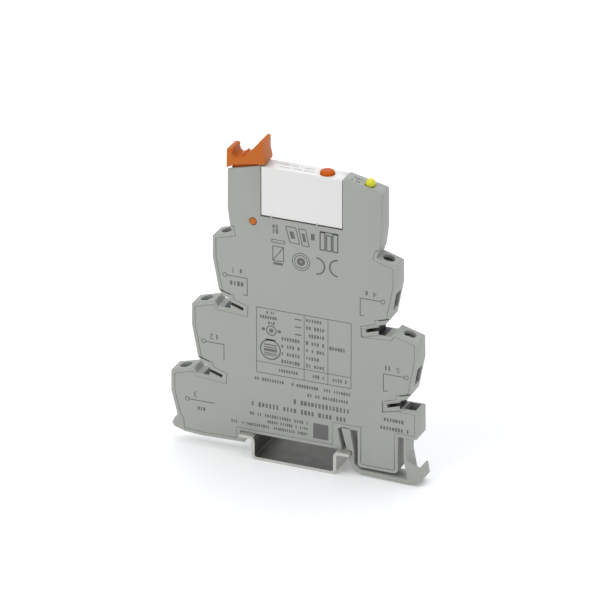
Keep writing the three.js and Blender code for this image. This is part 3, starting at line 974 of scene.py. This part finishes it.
    def terminal_signs(self) -> None:
        """Prints the ring, lead and number at each terminal."""
        places = [(-22.6, 50.2, 1), (-29.5, 27.4, 1), (-34.9, 7.5, 1), (27.2, 50.4, -1), (34.6, 27.3, -1)]
        for number, (x, z, inward) in enumerate(places, start=1):
            self.ring((x, z), 0.62, 0.24)
            bend = x + inward * self.lead
            start = (x + inward * 0.7, z)
            if number == 3:
                self.path([start, (bend + 1.6, z)])
            elif number == 2:
                self.path([start, (bend - 0.6, z), (bend - 0.6, z - 5.2)])
            else:
                self.path([start, (bend, z), (bend, z - 5.6), (bend - inward * 1.3, z - 5.4)])
            self.numeral(str(number), (x + inward * 2.6, z + 2.0), 1.9)
        beside = ((-18.6, -15.6, 52.2), (-25.2, -23.2, 29.4), (21.0, 23.4, 52.3), (28.2, 30.8, 29.3))
        for left, right, level in beside:
            self.dashes(left, right, level, 1.6, int(level))
        self.dashes(-20.6, -15.9, 48.0, 1.7, 4)
        self.dashes(-31.2, -27.8, 5.0, 1.3, 9)
        self.dashes(28.0, 34.6, 12.6, 1.35, 21)
        self.dashes(26.9, 36.1, 9.8, 1.35, 33)

    def approval_marks(self) -> None:
        """Prints plain generic shapes in the upper part of the cover."""
        self.outlined([(-3.3, 69.2), (-0.2, 69.2), (1.1, 64.2), (-2.0, 64.2)])
        self.outlined([(0.7, 69.1), (2.9, 69.1), (4.1, 63.9), (1.9, 63.9)])
        self.quad([(-1.6, 65.6), (-0.3, 65.6), (-0.9, 67.8), (-2.2, 67.8)])
        self.quad([(2.2, 65.2), (3.2, 65.2), (2.6, 67.8), (1.6, 67.8)])
        self.dashes(-7.1, -4.3, 68.5, 1.5, 3)
        self.dashes(-7.1, -4.3, 67.0, 1.5, 8)
        self.quad([(4.6, 66.2), (5.8, 66.2), (5.8, 68.2), (4.6, 68.2)])
        for step, reach in enumerate((5.6, 4.9, 5.6)):
            self.frame_box((7.5 + 2.0 * step, 63.6), (9.0 + 2.0 * step, 63.6 + reach), 0.42)
        self.path([(7.4, 69.4), (13.2, 69.4)], 0.4)
        self.frame_box((-7.7, 63.4), (-3.6, 64.3), 0.24)
        self.frame_box((-7.4, 57.6), (-4.0, 62.2), 0.28)
        self.path([(-7.4, 57.6), (-4.0, 62.2)], 0.28)
        self.quad([(-7.2, 56.3), (-4.2, 56.3), (-4.2, 57.1), (-7.2, 57.1)])
        self.ring((1.5, 58.6), 2.75, 0.26)
        self.ring((1.5, 58.6), 2.05, 0.26)
        self.ring((1.5, 58.6), 0.8, 1.0)
        self.arc_mark((6.3, 58.2), 1)
        self.arc_mark((13.1, 58.5), -1)

    def outlined(self, corners: Sequence[Point]) -> None:
        """Prints the closed outline of a plain shape."""
        self.path([*corners, corners[0]], 0.28)

    def arc_mark(self, centre: Point, side: int) -> None:
        """Prints a plain half ring that bulges towards one side."""
        turn = [math.pi * (step / 12 - 0.5) for step in range(13)]
        self.path([(centre[0] + side * 2.6 * math.cos(a), centre[1] + 2.6 * math.sin(a)) for a in turn], 0.5)

    def table(self) -> None:
        """Prints the ruled table with its round signs and rows of bars."""
        left, right, low, high, header = -12.6, 17.3, 20.5, 41.6, 24.05
        self.frame_box((left, low), (right, high), 0.22)
        for column in (2.5, 10.0):
            self.line((column, low), (column, high), 0.2)
        self.line((left, header), (right, header), 0.2)
        self.round_signs()
        top_row, pitch, height = 40.1, 2.45, 1.25
        for row in range(7):
            level = top_row - row * pitch
            self.dashes(3.4, 9.5, level, height, 60 + row)
            if row < 3:
                self.line((-0.5, level - 0.3), (1.6, level - 0.3), 0.4)
            else:
                self.dashes(-4.4, 1.8, level, height, 80 + row)
        self.dashes(10.8, 16.6, 32.4, height, 95)
        for seed, (start, end) in enumerate(((-5.3, 1.8), (5.4, 9.5), (11.8, 16.6)), start=71):
            self.dashes(start, end, (low + header) / 2, 1.15, seed)

    def round_signs(self) -> None:
        """Prints two plain ringed signs with short rows above them."""
        self.ring((-8.2, 28.5), 3.15, 0.42)
        self.line((-9.8, 31.6), (-6.6, 31.6), 0.6)
        for level, width in ((30.0, 0.4), (29.2, 0.3), (28.3, 0.9), (27.3, 0.3), (26.7, 0.3)):
            self.line((-10.3, level), (-6.1, level), width)
        self.ring((-7.9, 34.7), 1.5, 0.36)
        self.ring((-7.9, 34.7), 0.35, 0.7, 12)
        for x in (-10.4, -5.4):
            self.quad([(x - 0.5, 34.4), (x + 0.5, 34.4), (x + 0.5, 35.3), (x - 0.5, 35.3)])
        self.dashes(-9.4, -6.3, 37.1, 1.1, 51)
        self.dashes(-12.0, -5.6, 38.8, 1.15, 52)
        self.dashes(-9.2, -6.4, 40.4, 0.95, 53)

    def shoulder_row(self) -> None:
        """Prints two short rows of bars on the sloping shoulder beside the lamp."""
        lying = Matrix.Rotation(SHOULDER_SLOPE, 4, "Y") @ Matrix.Rotation(-math.pi / 2, 4, "X")
        for seed, across in enumerate((-0.9, 0.9), start=40):
            row = BarRow(-1.1, -across, 4, 0.75, 1.0, seed, film=self.film).lay(self.tree)
            row.data.transform(Matrix.Translation(mm(17.6, 0, 86.36)) @ lying)
            self.made.append(row)

    def text_block(self) -> None:
        """Prints the rows of bars under the table and a plain filled square."""
        rows = [
            (-13.7, 17.6, 18.4, 1.15),
            (3.8, 17.6, 15.8, 1.2),
            (-2.7, 17.6, 12.9, 1.65),
            (-13.9, 17.6, 9.9, 1.65),
            (-14.5, 4.6, 6.6, 1.15),
            (-8.9, 4.5, 4.75, 1.0),
            (-20.5, 4.5, 2.95, 1.0),
        ]
        for seed, (left, right, level, height) in enumerate(rows, start=101):
            self.dashes(left, right, level, height, seed)
        self.quad([(5.4, 2.2), (10.2, 2.2), (10.2, 7.1), (5.4, 7.1)])


# ----------------------------------------------------------------------------------------
# Terminals
# ----------------------------------------------------------------------------------------


def thread_tree(metal: bpy.types.Material) -> bpy.types.NodeTree:
    """Builds the tree that winds a thread ridge or a spring wire along +Z.

    Args:
        metal: The material of the wire.

    Returns:
        The Geometry Nodes tree.
    """
    tree = geometry_tree("wound_wire", [
        ("Turns", FLOAT, 8.0),
        ("Radius", FLOAT, 1.0),
        ("Height", FLOAT, 1.0),
        ("Wire", FLOAT, 0.1),
        ("Steps", INTEGER, 20),
        ("Sides", INTEGER, 4),
    ])
    kit = Nodes(tree)
    given = kit.add("NodeGroupInput").outputs
    spiral = kit.add("GeometryNodeCurveSpiral", {
        "Resolution": given["Steps"],
        "Rotations": given["Turns"],
        "Start Radius": given["Radius"],
        "End Radius": given["Radius"],
        "Height": given["Height"],
    }).outputs[0]
    section = kit.add("GeometryNodeCurvePrimitiveCircle", {
        "Resolution": given["Sides"], "Radius": given["Wire"],
    }).outputs[0]
    wire = kit.add("GeometryNodeCurveToMesh", {
        "Curve": spiral, "Profile Curve": section, "Fill Caps": True,
    }).outputs[0]
    close_tree(kit, wire, metal)
    return tree


@dataclass(frozen=True)
class Coil:
    """Wire wound along +Z from the origin, in metres.

    Attributes:
        turns: How many turns it has.
        radius: Radius of the wire's middle line.
        height: From the first turn to the last.
        wire: Radius of the wire.
        steps: Steps in each turn.
        sides: Sides of the wire.
    """

    turns: float
    radius: float
    height: float
    wire: float
    steps: int
    sides: int

    def wind(self, name: str, tree: bpy.types.NodeTree) -> bpy.types.Object:
        """Winds the wire.

        Args:
            name: The new piece's name.
            tree: The tree from thread_tree.

        Returns:
            The wire as a plain mesh.
        """
        return grown(name, tree, {
            "Turns": self.turns,
            "Radius": self.radius,
            "Height": self.height,
            "Wire": self.wire,
            "Steps": self.steps,
            "Sides": self.sides,
        })


@dataclass
class BridgeSlits:
    """Painted shade in the four slits that take plug-in bridges: dark films on their floors and behind the
    joint above each, in millimetres.

    Attributes:
        shop: The workshop.
        midline: X of the plane between the two sides.
        tier: Step from one tier to the next, outwards and up.
        floor: The slit's floor on the upper tier, from its end to the step below its mouth.
        crack: The open joint between cover and housing above the slit, from end to end.
        half: Half of the width along the rail.
        film: Thickness of the dark layer of painted shade.
    """

    shop: Workshop
    midline: float = 2.45
    tier: Point = (6.8, -23.1)
    floor: tuple[Point, ...] = ((19.45, 39.43), (23.33, 40.68), (23.36, 39.52), (25.4, 39.57))
    crack: tuple[Point, Point] = ((23.35, 43.95), (26.7, 44.95))
    half: float = 2.7
    film: float = 0.05

    def build(self) -> None:
        """Lays the painted shade of all four floors and joints as one piece."""
        shape = bmesh.new()
        near_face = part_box("front_cover")[0].y / MM
        for side, tier in ((-1, 0), (-1, 1), (1, 0), (1, 1)):
            line = [self.placed(side, tier, point) for point in self.floor]
            (x0, z0), (x1, z1) = (self.placed(side, tier, point) for point in self.crack)
            # Dark slab behind the open joint between cover and housing: painted shade in the gap.
            joint = [(x0, z0), (x1, z1), (x1, z1 + 0.36), (x0, z0 + 0.36)]
            self.slab(shape, joint, near_face - 0.015, near_face + 0.1)
            # Dark films along the slit's floor and step: painted shade in the recess.
            for (x0, z0), (x1, z1) in zip(line, line[1:]):
                corners = [(x0, z0), (x1, z1), (x1, z1 + self.film), (x0, z0 + self.film)]
                if abs(x1 - x0) < 0.1:
                    out = side * self.film
                    corners = [(x0, z0), (x1, z1), (x1 + out, z1), (x0 + out, z0)]
                self.slab(shape, corners, -self.half, self.half)
        bmesh.ops.recalc_face_normals(shape, faces=shape.faces)
        piece = paint(from_bmesh("slit_painted_shade", shape), self.shop.finish["dark_moulding"])
        self.shop.stand_for(piece, "root", "dark_moulding")

    def placed(self, side: int, tier: int, point: Point) -> Point:
        """Moves a point of the upper right tier to another tier or side."""
        u, z = point
        return self.midline + side * (u + tier * self.tier[0]), z + tier * self.tier[1]

    @staticmethod
    def slab(shape: bmesh.types.BMesh, corners: Sequence[Point], y0: float, y1: float) -> None:
        """Adds one thin slab that runs along the rail.

        Args:
            shape: What the slab is added to.
            corners: Its four corners as (x, z) in millimetres.
            y0: Where it starts, in millimetres.
            y1: Where it ends.
        """
        near = [shape.verts.new(mm(x, y0, z)) for x, z in corners]
        far = [shape.verts.new(mm(x, y1, z)) for x, z in corners]
        shape.faces.new(near)
        shape.faces.new(far[::-1])
        for index in range(4):
            after = (index + 1) % 4
            shape.faces.new((near[index], far[index], far[after], near[after]))


@dataclass
class Terminals:
    """The clamp screws with their threads, the cages and the contact bars.

    Attributes:
        shop: The workshop.
        count: How many terminals there are.
        pitch: Thread pitch in millimetres.
        thread_radius: Radius of the thread's ridge line in millimetres.
        thread_ridge: Radius of the ridge itself in millimetres.
        head_to_thread: From the screw's joint point down to the thread's start, in millimetres.
        thread_length: In millimetres.
    """

    shop: Workshop
    count: int = 5
    pitch: float = 0.5
    thread_radius: float = 1.2
    thread_ridge: float = 0.2
    head_to_thread: float = 8.0
    thread_length: float = 5.0

    def build(self) -> None:
        """Builds each terminal's visible metal."""
        joints = {joint["name"]: joint for joint in self.shop.frame["joints"]}
        tree = thread_tree(self.shop.finish["zinc_steel"])
        for number in range(1, self.count + 1):
            self.screw(number, joints[f"screw_{number}_turn"], tree)
            for kind, body, slot in (
                ("clamp_cage", f"cage_{number}", "zinc_steel"),
                ("contact_bar", "root", "contact_metal"),
            ):
                node = f"{kind}_{number}"
                piece = refined(self.shop.nodes[node], f"{kind}_{number}_formed", 0.1)
                self.shop.stand_for(piece, body, slot, node)

    def screw(self, number: int, joint: dict, tree: bpy.types.NodeTree) -> None:
        """Builds one screw: the rounded head and shank with a wound thread.

        Args:
            number: Which terminal it clamps.
            joint: The joint that it turns on.
            tree: The tree from thread_tree.
        """
        node = f"clamp_screw_{number}"
        body = refined(self.shop.nodes[node], "screw_body", 0.09)
        paint(body, self.shop.finish["zinc_steel"])
        coil = Coil(
            turns=self.thread_length / self.pitch, radius=self.thread_radius * MM,
            height=self.thread_length * MM, wire=self.thread_ridge * MM, steps=18, sides=4,
        )
        ridge = coil.wind("thread", tree)
        up = -Vector(joint["axis"]).normalized()
        turn = Vector((0, 0, 1)).rotation_difference(up).to_matrix().to_4x4()
        foot = Vector(joint["pos_m"]) - up * self.head_to_thread * MM
        ridge.data.transform(Matrix.Translation(foot) @ turn)
        outward(ridge)
        piece = joined(f"{node}_threaded", [body, ridge])
        smooth(piece, 38)
        self.shop.stand_for(piece, f"screw_{number}", "zinc_steel", node)


# ----------------------------------------------------------------------------------------
# Lever, relay and lamp
# ----------------------------------------------------------------------------------------


def ridge_tree(material: bpy.types.Material) -> bpy.types.NodeTree:
    """Builds the tree that sets round ridges across the lever's thumb slope.

    Args:
        material: What the ridges are made of.

    Returns:
        The Geometry Nodes tree.
    """
    tree = geometry_tree("thumb_ridges", [
        ("Count", INTEGER, 5),
        ("Foot", VECTOR, (0.0, 0.0, 0.0)),
        ("Crest", VECTOR, (0.0, 0.0, 1.0)),
        ("Radius", FLOAT, 0.1),
        ("Length", FLOAT, 1.0),
    ])
    kit = Nodes(tree)
    given = kit.add("NodeGroupInput").outputs
    line = kit.add("GeometryNodeMeshLine", {
        "Count": given["Count"], "Start Location": given["Foot"], "Offset": given["Crest"],
    }, mode="END_POINTS").outputs[0]
    rib = kit.add("GeometryNodeMeshCylinder", {
        "Vertices": 12, "Radius": given["Radius"], "Depth": given["Length"],
    }).outputs[0]
    lying = kit.add("GeometryNodeTransform", {
        "Geometry": rib, "Rotation": (math.pi / 2, 0, 0),
    }).outputs[0]
    laid = kit.add("GeometryNodeInstanceOnPoints", {"Points": line, "Instance": lying}).outputs[0]
    close_tree(kit, laid, material)
    return tree


@dataclass
class Ejector:
    """The orange lever with its thumb ridges.

    Attributes:
        shop: The workshop.
        ridges: How many ridges cross the thumb slope.
        foot: The slope's lower end as (x, z) in millimetres.
        crest: The slope's upper end.
        ridge_radius: Radius of a ridge in millimetres.
        ridge_length: Length of a ridge in millimetres.
        roll: Middle of the rolled edge on the outer horn.
        roll_radius: Radius of that edge in millimetres.
    """

    shop: Workshop
    ridges: int = 5
    foot: Point = (-15.4, 89.62)
    crest: Point = (-13.05, 92.27)
    ridge_radius: float = 0.24
    ridge_length: float = 5.4
    roll: Point = (-20.75, 90.2)
    roll_radius: float = 0.78

    def build(self) -> None:
        """Builds the lever with rounded edges and ridges."""
        node = "eject_lever"
        orange = self.shop.finish["lever_orange"]
        body = paint(refined(self.shop.nodes[node], "lever_body", 0.22, 3), orange)
        ridges = grown("lever_ridges", ridge_tree(orange), {
            "Count": self.ridges,
            "Foot": mm(self.foot[0], 0, self.foot[1]),
            "Crest": mm(self.crest[0], 0, self.crest[1]),
            "Radius": self.ridge_radius * MM,
            "Length": self.ridge_length * MM,
        })
        lever = joined("ejector_lever", [body, ridges, paint(self.rolled_edge(), orange)])
        smooth(lever, 40)
        self.shop.stand_for(lever, "lever", "lever_plastic", node)

    def rolled_edge(self) -> bpy.types.Object:
        """Makes the round bar that thickens the top of the outer horn.

        Returns:
            The bar.
        """
        low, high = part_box("eject_lever")
        shape = bmesh.new()
        bmesh.ops.create_cone(
            shape, cap_ends=True, segments=28, radius1=self.roll_radius * MM,
            radius2=self.roll_radius * MM, depth=high.y - low.y - 0.25 * MM,
        )
        edges = [edge for edge in shape.edges if edge.calc_face_angle(0.0) > 1.0]
        bmesh.ops.bevel(shape, geom=edges, offset=0.2 * MM, segments=3, profile=0.5, affect="EDGES")
        bar = from_bmesh("rolled_edge", shape)
        place = Matrix.Translation(mm(self.roll[0], 0, self.roll[1]))
        bar.data.transform(place @ Matrix.Rotation(math.pi / 2, 4, "X"))
        return bar


@dataclass
class PlugInRelay:
    """The white relay: case, button, spring and winding.

    Attributes:
        shop: The workshop.
        wire: Radius of the winding wire in millimetres.
        layers: Layers of wire shown.
        spring_wire: Radius of the button spring's wire in millimetres.
        spring_turns: How many turns the button's spring has.
        seal_depth: How thick the dark strip of painted shade under the case is, in millimetres.
        print_pitch: From one printed bar to the next on the case, in millimetres.
    """

    shop: Workshop
    wire: float = 0.09
    layers: int = 2
    spring_wire: float = 0.12
    spring_turns: float = 3.5
    seal_depth: float = 0.42
    print_pitch: float = 0.55

    def build(self) -> None:
        """Builds the relay's outer and wound pieces."""
        nodes = self.shop.nodes
        case = refined(nodes["relay_case"], "relay_cap", 0.22, 3)
        self.shop.stand_for(case, "relay", "relay_plastic", "relay_case")
        button = refined(nodes["test_button"], "button_cap", 0.16, 3)
        smooth(button, 50)
        self.shop.stand_for(button, "button", "button_plastic", "test_button")
        tree = thread_tree(self.shop.finish["winding_copper"])
        self.winding(tree)
        self.spring()
        for node, body, slot, edge in (
            ("yoke", "relay", "soft_iron", 0.1),
            ("armature", "armature", "soft_iron", 0.1),
            ("bobbin", "relay", "dark_moulding", 0.1),
            ("relay_base", "relay", "dark_moulding", 0.12),
            ("actuator_card", "card", "dark_moulding", 0.08),
        ):
            piece = refined(nodes[node], f"{node}_formed", edge)
            self.shop.stand_for(piece, body, slot, node)
        self.seal()
        self.top_print()

    def seal(self) -> None:
        """Lays a dark strip under the case: painted shade in the gap between relay and housing."""
        low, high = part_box("relay_case")
        size = Vector((high.x - low.x - 0.3 * MM, high.y - low.y - 0.1 * MM, self.seal_depth * MM))
        middle = (low + high) / 2
        middle.z = low.z - 0.17 * MM
        # The dark strip is painted shade in the gap, not a part of the relay.
        piece = paint(block("relay_gap_shade", size, middle), self.shop.finish["dark_moulding"])
        self.shop.stand_for(piece, "relay", "dark_moulding")

    def top_print(self) -> None:
        """Prints two faint rows of bars along the top of the case."""
        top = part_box("relay_case")[1].z
        tree = dash_tree(self.shop.finish["relay_print"])
        rows = []
        for seed, (left, right, y) in enumerate(((-6.5, 4.6, 1.1), (-6.0, 5.2, -0.7)), start=7):
            count = int((right - left) / self.print_pitch)
            rows.append(BarRow(left, y, count, self.print_pitch, 0.8, seed).lay(tree))
        piece = joined("relay_top_print", rows)
        lying = Matrix.Rotation(-math.pi / 2, 4, "X")
        piece.data.transform(Matrix.Translation((0, 0, top + 0.004 * MM)) @ lying)
        self.shop.stand_for(piece, "relay", "relay_plastic")

    def winding(self, tree: bpy.types.NodeTree) -> None:
        """Winds the coil in turns of wire.

        Args:
            tree: The tree from thread_tree.
        """
        low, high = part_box("coil_winding")
        middle = (low + high) / 2
        outer = (high.z - low.z) / 2 / MM
        length = (high.x - low.x) / MM - 2 * self.wire
        coils = []
        for layer in range(self.layers):
            coil = Coil(
                turns=length / (2 * self.wire), radius=(outer - self.wire * (1 + 2 * layer)) * MM,
                height=length * MM, wire=self.wire * MM, steps=20, sides=5,
            )
            coils.append(coil.wind("coil_layer", tree))
        piece = joined("wire_winding", coils)
        start = Matrix.Translation((low.x + self.wire * MM, middle.y, middle.z))
        piece.data.transform(start @ Matrix.Rotation(math.pi / 2, 4, "Y"))
        outward(piece)
        smooth(piece, 60)
        self.shop.stand_for(piece, "relay", "copper_wire", "coil_winding")

    def spring(self) -> None:
        """Winds the button's return spring; the coil rides on the relay and keeps its length when the button
        goes down.
        """
        low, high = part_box("button_spring")
        wire = self.spring_wire * MM
        coil = Coil(
            turns=self.spring_turns, radius=(high.x - low.x) / 2 - wire,
            height=high.z - low.z - 2 * wire, wire=wire, steps=24, sides=8,
        )
        piece = coil.wind("return_spring", thread_tree(self.shop.finish["zinc_steel"]))
        middle = (low + high) / 2
        piece.data.transform(Matrix.Translation((middle.x, middle.y, low.z + wire)))
        outward(piece)
        smooth(piece, 60)
        self.shop.stand_for(piece, "relay", "zinc_steel", "button_spring")
        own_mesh(piece)


@dataclass
class Lamp:
    """The yellow indicator dome.

    Attributes:
        shop: The workshop.
        radius: Radius of the dome in millimetres.
        rise: Height of the straight collar in millimetres.
        stem: Radius of the stem in the shoulder, in millimetres.
        depth: Depth of the stem below the shoulder, in millimetres.
        place: Where its axis meets the shoulder, as (x, z) in millimetres.
        steps: Steps from the collar to the top of the dome.
        sides: Steps round the dome.
    """

    shop: Workshop
    radius: float = 1.5
    rise: float = 0.6
    stem: float = 1.1
    depth: float = 3.1
    place: Point = (21.8, 85.4)
    steps: int = 10
    sides: int = 36

    def build(self) -> None:
        """Turns the dome's profile round its axis, square to the shoulder."""
        foot = [(0.0, -self.depth), (self.stem, -self.depth), (self.stem, 0.2)]
        profile = [*foot, (self.radius, 0.3), (self.radius, self.rise)]
        for step in range(1, self.steps + 1):
            angle = math.pi / 2 * step / self.steps
            profile.append((self.radius * math.cos(angle), self.rise + self.radius * math.sin(angle)))
        profile[-1] = (0.0, profile[-1][1])
        shape = bmesh.new()
        corners = [shape.verts.new((r * MM, 0, z * MM)) for r, z in profile]
        edges = [shape.edges.new(pair) for pair in zip(corners, corners[1:])]
        bmesh.ops.spin(
            shape, geom=corners + edges, axis=(0, 0, 1), cent=(0, 0, 0),
            angle=2 * math.pi, steps=self.sides, use_duplicate=False,
        )
        bmesh.ops.remove_doubles(shape, verts=shape.verts, dist=1e-6)
        dome = from_bmesh("lamp_dome", shape)
        seat = Matrix.Translation(mm(self.place[0], 0, self.place[1]))
        dome.data.transform(seat @ Matrix.Rotation(SHOULDER_SLOPE, 4, "Y"))
        smooth(dome, 40)
        self.shop.stand_for(dome, "root", "lamp_lens", "indicator_lamp")


# ----------------------------------------------------------------------------------------
# Studio
# ----------------------------------------------------------------------------------------


@dataclass
class Studio:
    """The floor, the stub of rail, the lights and the camera.

    Attributes:
        shop: The workshop.
        azimuth: Camera angle from straight on, towards +X, in degrees.
        elevation: Camera angle above the floor, in degrees.
        aim: The point in the middle of the view, in millimetres.
        field_width: Width of the view at that point, in millimetres.
        lens: Focal length in millimetres.
        floor_level: Z of the floor in millimetres.
        rail_bends: The rail's middle line as (x, z) before its corners are rounded, in millimetres.
        rail_ends: Where the stub of rail starts and ends along Y, in millimetres.
        rail_half: Half of the rail's thickness in millimetres.
    """

    shop: Workshop
    azimuth: float = 22.5
    elevation: float = 25.5
    aim: tuple[float, float, float] = (-0.1, 0.0, 44.7)
    field_width: float = 175.1
    lens: float = 400.0
    floor_level: float = -7.52
    rail_bends: tuple[Point, ...] = (
        (-17.5, -0.5), (-13.0, -0.5), (-13.0, -7.0), (13.0, -7.0), (13.0, -0.5), (17.5, -0.5),
    )
    rail_ends: Point = (-5.1, 17.0)
    rail_half: float = 0.49

    def build(self) -> None:
        """Builds the stage."""
        self.camera()
        self.floor()
        self.rail()
        self.lights()

    def camera(self) -> None:
        """Places the camera on the line of sight."""
        data = bpy.data.cameras.new("camera")
        data.lens = self.lens
        data.clip_end = 50
        camera = bpy.data.objects.new("camera", data)
        bpy.context.scene.collection.objects.link(camera)
        a, e = math.radians(self.azimuth), math.radians(self.elevation)
        back = Vector((math.sin(a) * math.cos(e), -math.cos(a) * math.cos(e), math.sin(e)))
        distance = self.field_width * self.lens / data.sensor_width
        camera.location = mm(*self.aim) + back * distance * MM
        camera.rotation_euler = (-back).to_track_quat("-Z", "Y").to_euler()
        bpy.context.scene.camera = camera

    def floor(self) -> None:
        """Lays a pale floor."""
        shape = bmesh.new()
        bmesh.ops.create_grid(shape, x_segments=1, y_segments=1, size=12)
        bmesh.ops.translate(shape, verts=shape.verts, vec=(0, 0, self.floor_level * MM))
        floor = from_bmesh("floor", shape)
        material = bpy.data.materials.new("floor_white")
        material.use_nodes = True
        shader = material.node_tree.nodes["Principled BSDF"]
        shader.inputs["Base Color"].default_value = (0.95, 0.95, 0.955, 1)
        shader.inputs["Emission Color"].default_value = (0.97, 0.98, 1.0, 1)
        shader.inputs["Emission Strength"].default_value = 0.13
        shader.inputs["Roughness"].default_value = 0.7
        shader.inputs["Specular IOR Level"].default_value = 0.2
        paint(floor, material)

    def rail(self) -> None:
        """Stands a stub of 35 mm rail under the object, as part of the stage, with painted shade inside its
        channel.
        """
        middle = self.rounded_path([Vector(point) for point in self.rail_bends], 1.3)
        outer, inner = (self.beside(middle, reach) for reach in (self.rail_half, -self.rail_half))
        near, far = self.rail_ends
        shape = bmesh.new()
        outline = [*outer, *reversed(inner)]
        face = shape.faces.new([shape.verts.new(mm(point.x, near, point.y - 0.01)) for point in outline])
        moved = bmesh.ops.extrude_face_region(shape, geom=[face])["geom"]
        back = [item for item in moved if isinstance(item, bmesh.types.BMVert)]
        bmesh.ops.translate(shape, verts=back, vec=mm(0, far - near, 0))
        rail = outward(from_bmesh("rail_stub", shape))
        paint(rail, self.shop.finish["rail_zinc"])
        # Painted shade: the channel's inner walls and floor get the dark finish, as if shaded by the
        # housing.
        rail.data.materials.append(self.shop.finish["rail_painted_shade"])
        for polygon in rail.data.polygons:
            is_shaded_inside = abs(polygon.center.x) < 12.9 * MM and polygon.center.z > -6.8 * MM
            polygon.material_index = int(is_shaded_inside and abs(polygon.normal.y) < 0.5)
        smooth(rail, 50)

    @staticmethod
    def rounded_path(corners: Sequence[Vector], radius: float, steps: int = 6) -> list[Vector]:
        """Rounds the corners of an open path.

        Args:
            corners: The path's corners.
            radius: From each corner to where its rounding starts.
            steps: Steps in each rounding.

        Returns:
            The points of the rounded path.
        """
        path = [corners[0]]
        for before, here, after in zip(corners, corners[1:], corners[2:]):
            start = here + (before - here).normalized() * radius
            end = here + (after - here).normalized() * radius
            for step in range(steps + 1):
                t = step / steps
                path.append(start * (1 - t) ** 2 + here * 2 * t * (1 - t) + end * t ** 2)
        return [*path, corners[-1]]

    @staticmethod
    def beside(path: Sequence[Vector], reach: float) -> list[Vector]:
        """Offsets an open path sideways.

        Args:
            path: The path's points.
            reach: How far the new path lies to the left of it.

        Returns:
            The points of the new path.
        """
        moved = []
        for index, here in enumerate(path):
            before, after = path[max(index - 1, 0)], path[min(index + 1, len(path) - 1)]
            along = (after - before).normalized()
            moved.append(here + Vector((-along.y, along.x)) * reach)
        return moved

    def lights(self) -> None:
        """Sets the soft studio lights and the pale surround."""
        lamps = (
            ("key", (-0.9, -1.3, 1.5), 1.3, 14.0, (1.0, 0.99, 0.97)),
            ("top", (0.1, 0.35, 1.8), 1.6, 14.0, (1.0, 1.0, 1.0)),
            ("fill", (1.6, -0.7, 0.7), 1.2, 2.5, (0.95, 0.97, 1.0)),
            ("rim", (-0.7, 1.5, 0.9), 1.2, 5.0, (0.97, 0.98, 1.0)),
        )
        target = mm(0, 0, 40)
        for name, place, size, power, colour in lamps:
            data = bpy.data.lights.new(name, "AREA")
            data.shape = "SQUARE"
            data.size = size
            data.energy = power
            data.color = colour
            lamp = bpy.data.objects.new(name, data)
            lamp.location = place
            lamp.rotation_euler = (target - Vector(place)).to_track_quat("-Z", "Y").to_euler()
            bpy.context.scene.collection.objects.link(lamp)
        world = bpy.data.worlds.new("surround")
        world.use_nodes = True
        background = world.node_tree.nodes["Background"]
        background.inputs["Color"].default_value = (0.94, 0.965, 1.0, 1)
        background.inputs["Strength"].default_value = 0.52
        bpy.context.scene.world = world
        bpy.context.scene.view_settings.view_transform = "Standard"


# ----------------------------------------------------------------------------------------
# Everything in order
# ----------------------------------------------------------------------------------------


def main() -> None:
    """Builds the stage and every piece in order."""
    logging.basicConfig(level=logging.INFO, format="%(message)s")
    shop = Workshop(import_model())
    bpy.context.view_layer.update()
    shop.dress_nodes()
    Studio(shop).build()
    builders: list[Callable[[], None]] = [
        Enclosure(shop).build,
        Printing(shop).build,
        BridgeSlits(shop).build,
        Terminals(shop).build,
        Ejector(shop).build,
        PlugInRelay(shop).build,
        Lamp(shop).build,
    ]
    for build in builders:
        build()


if __name__ == "__main__":
    main()
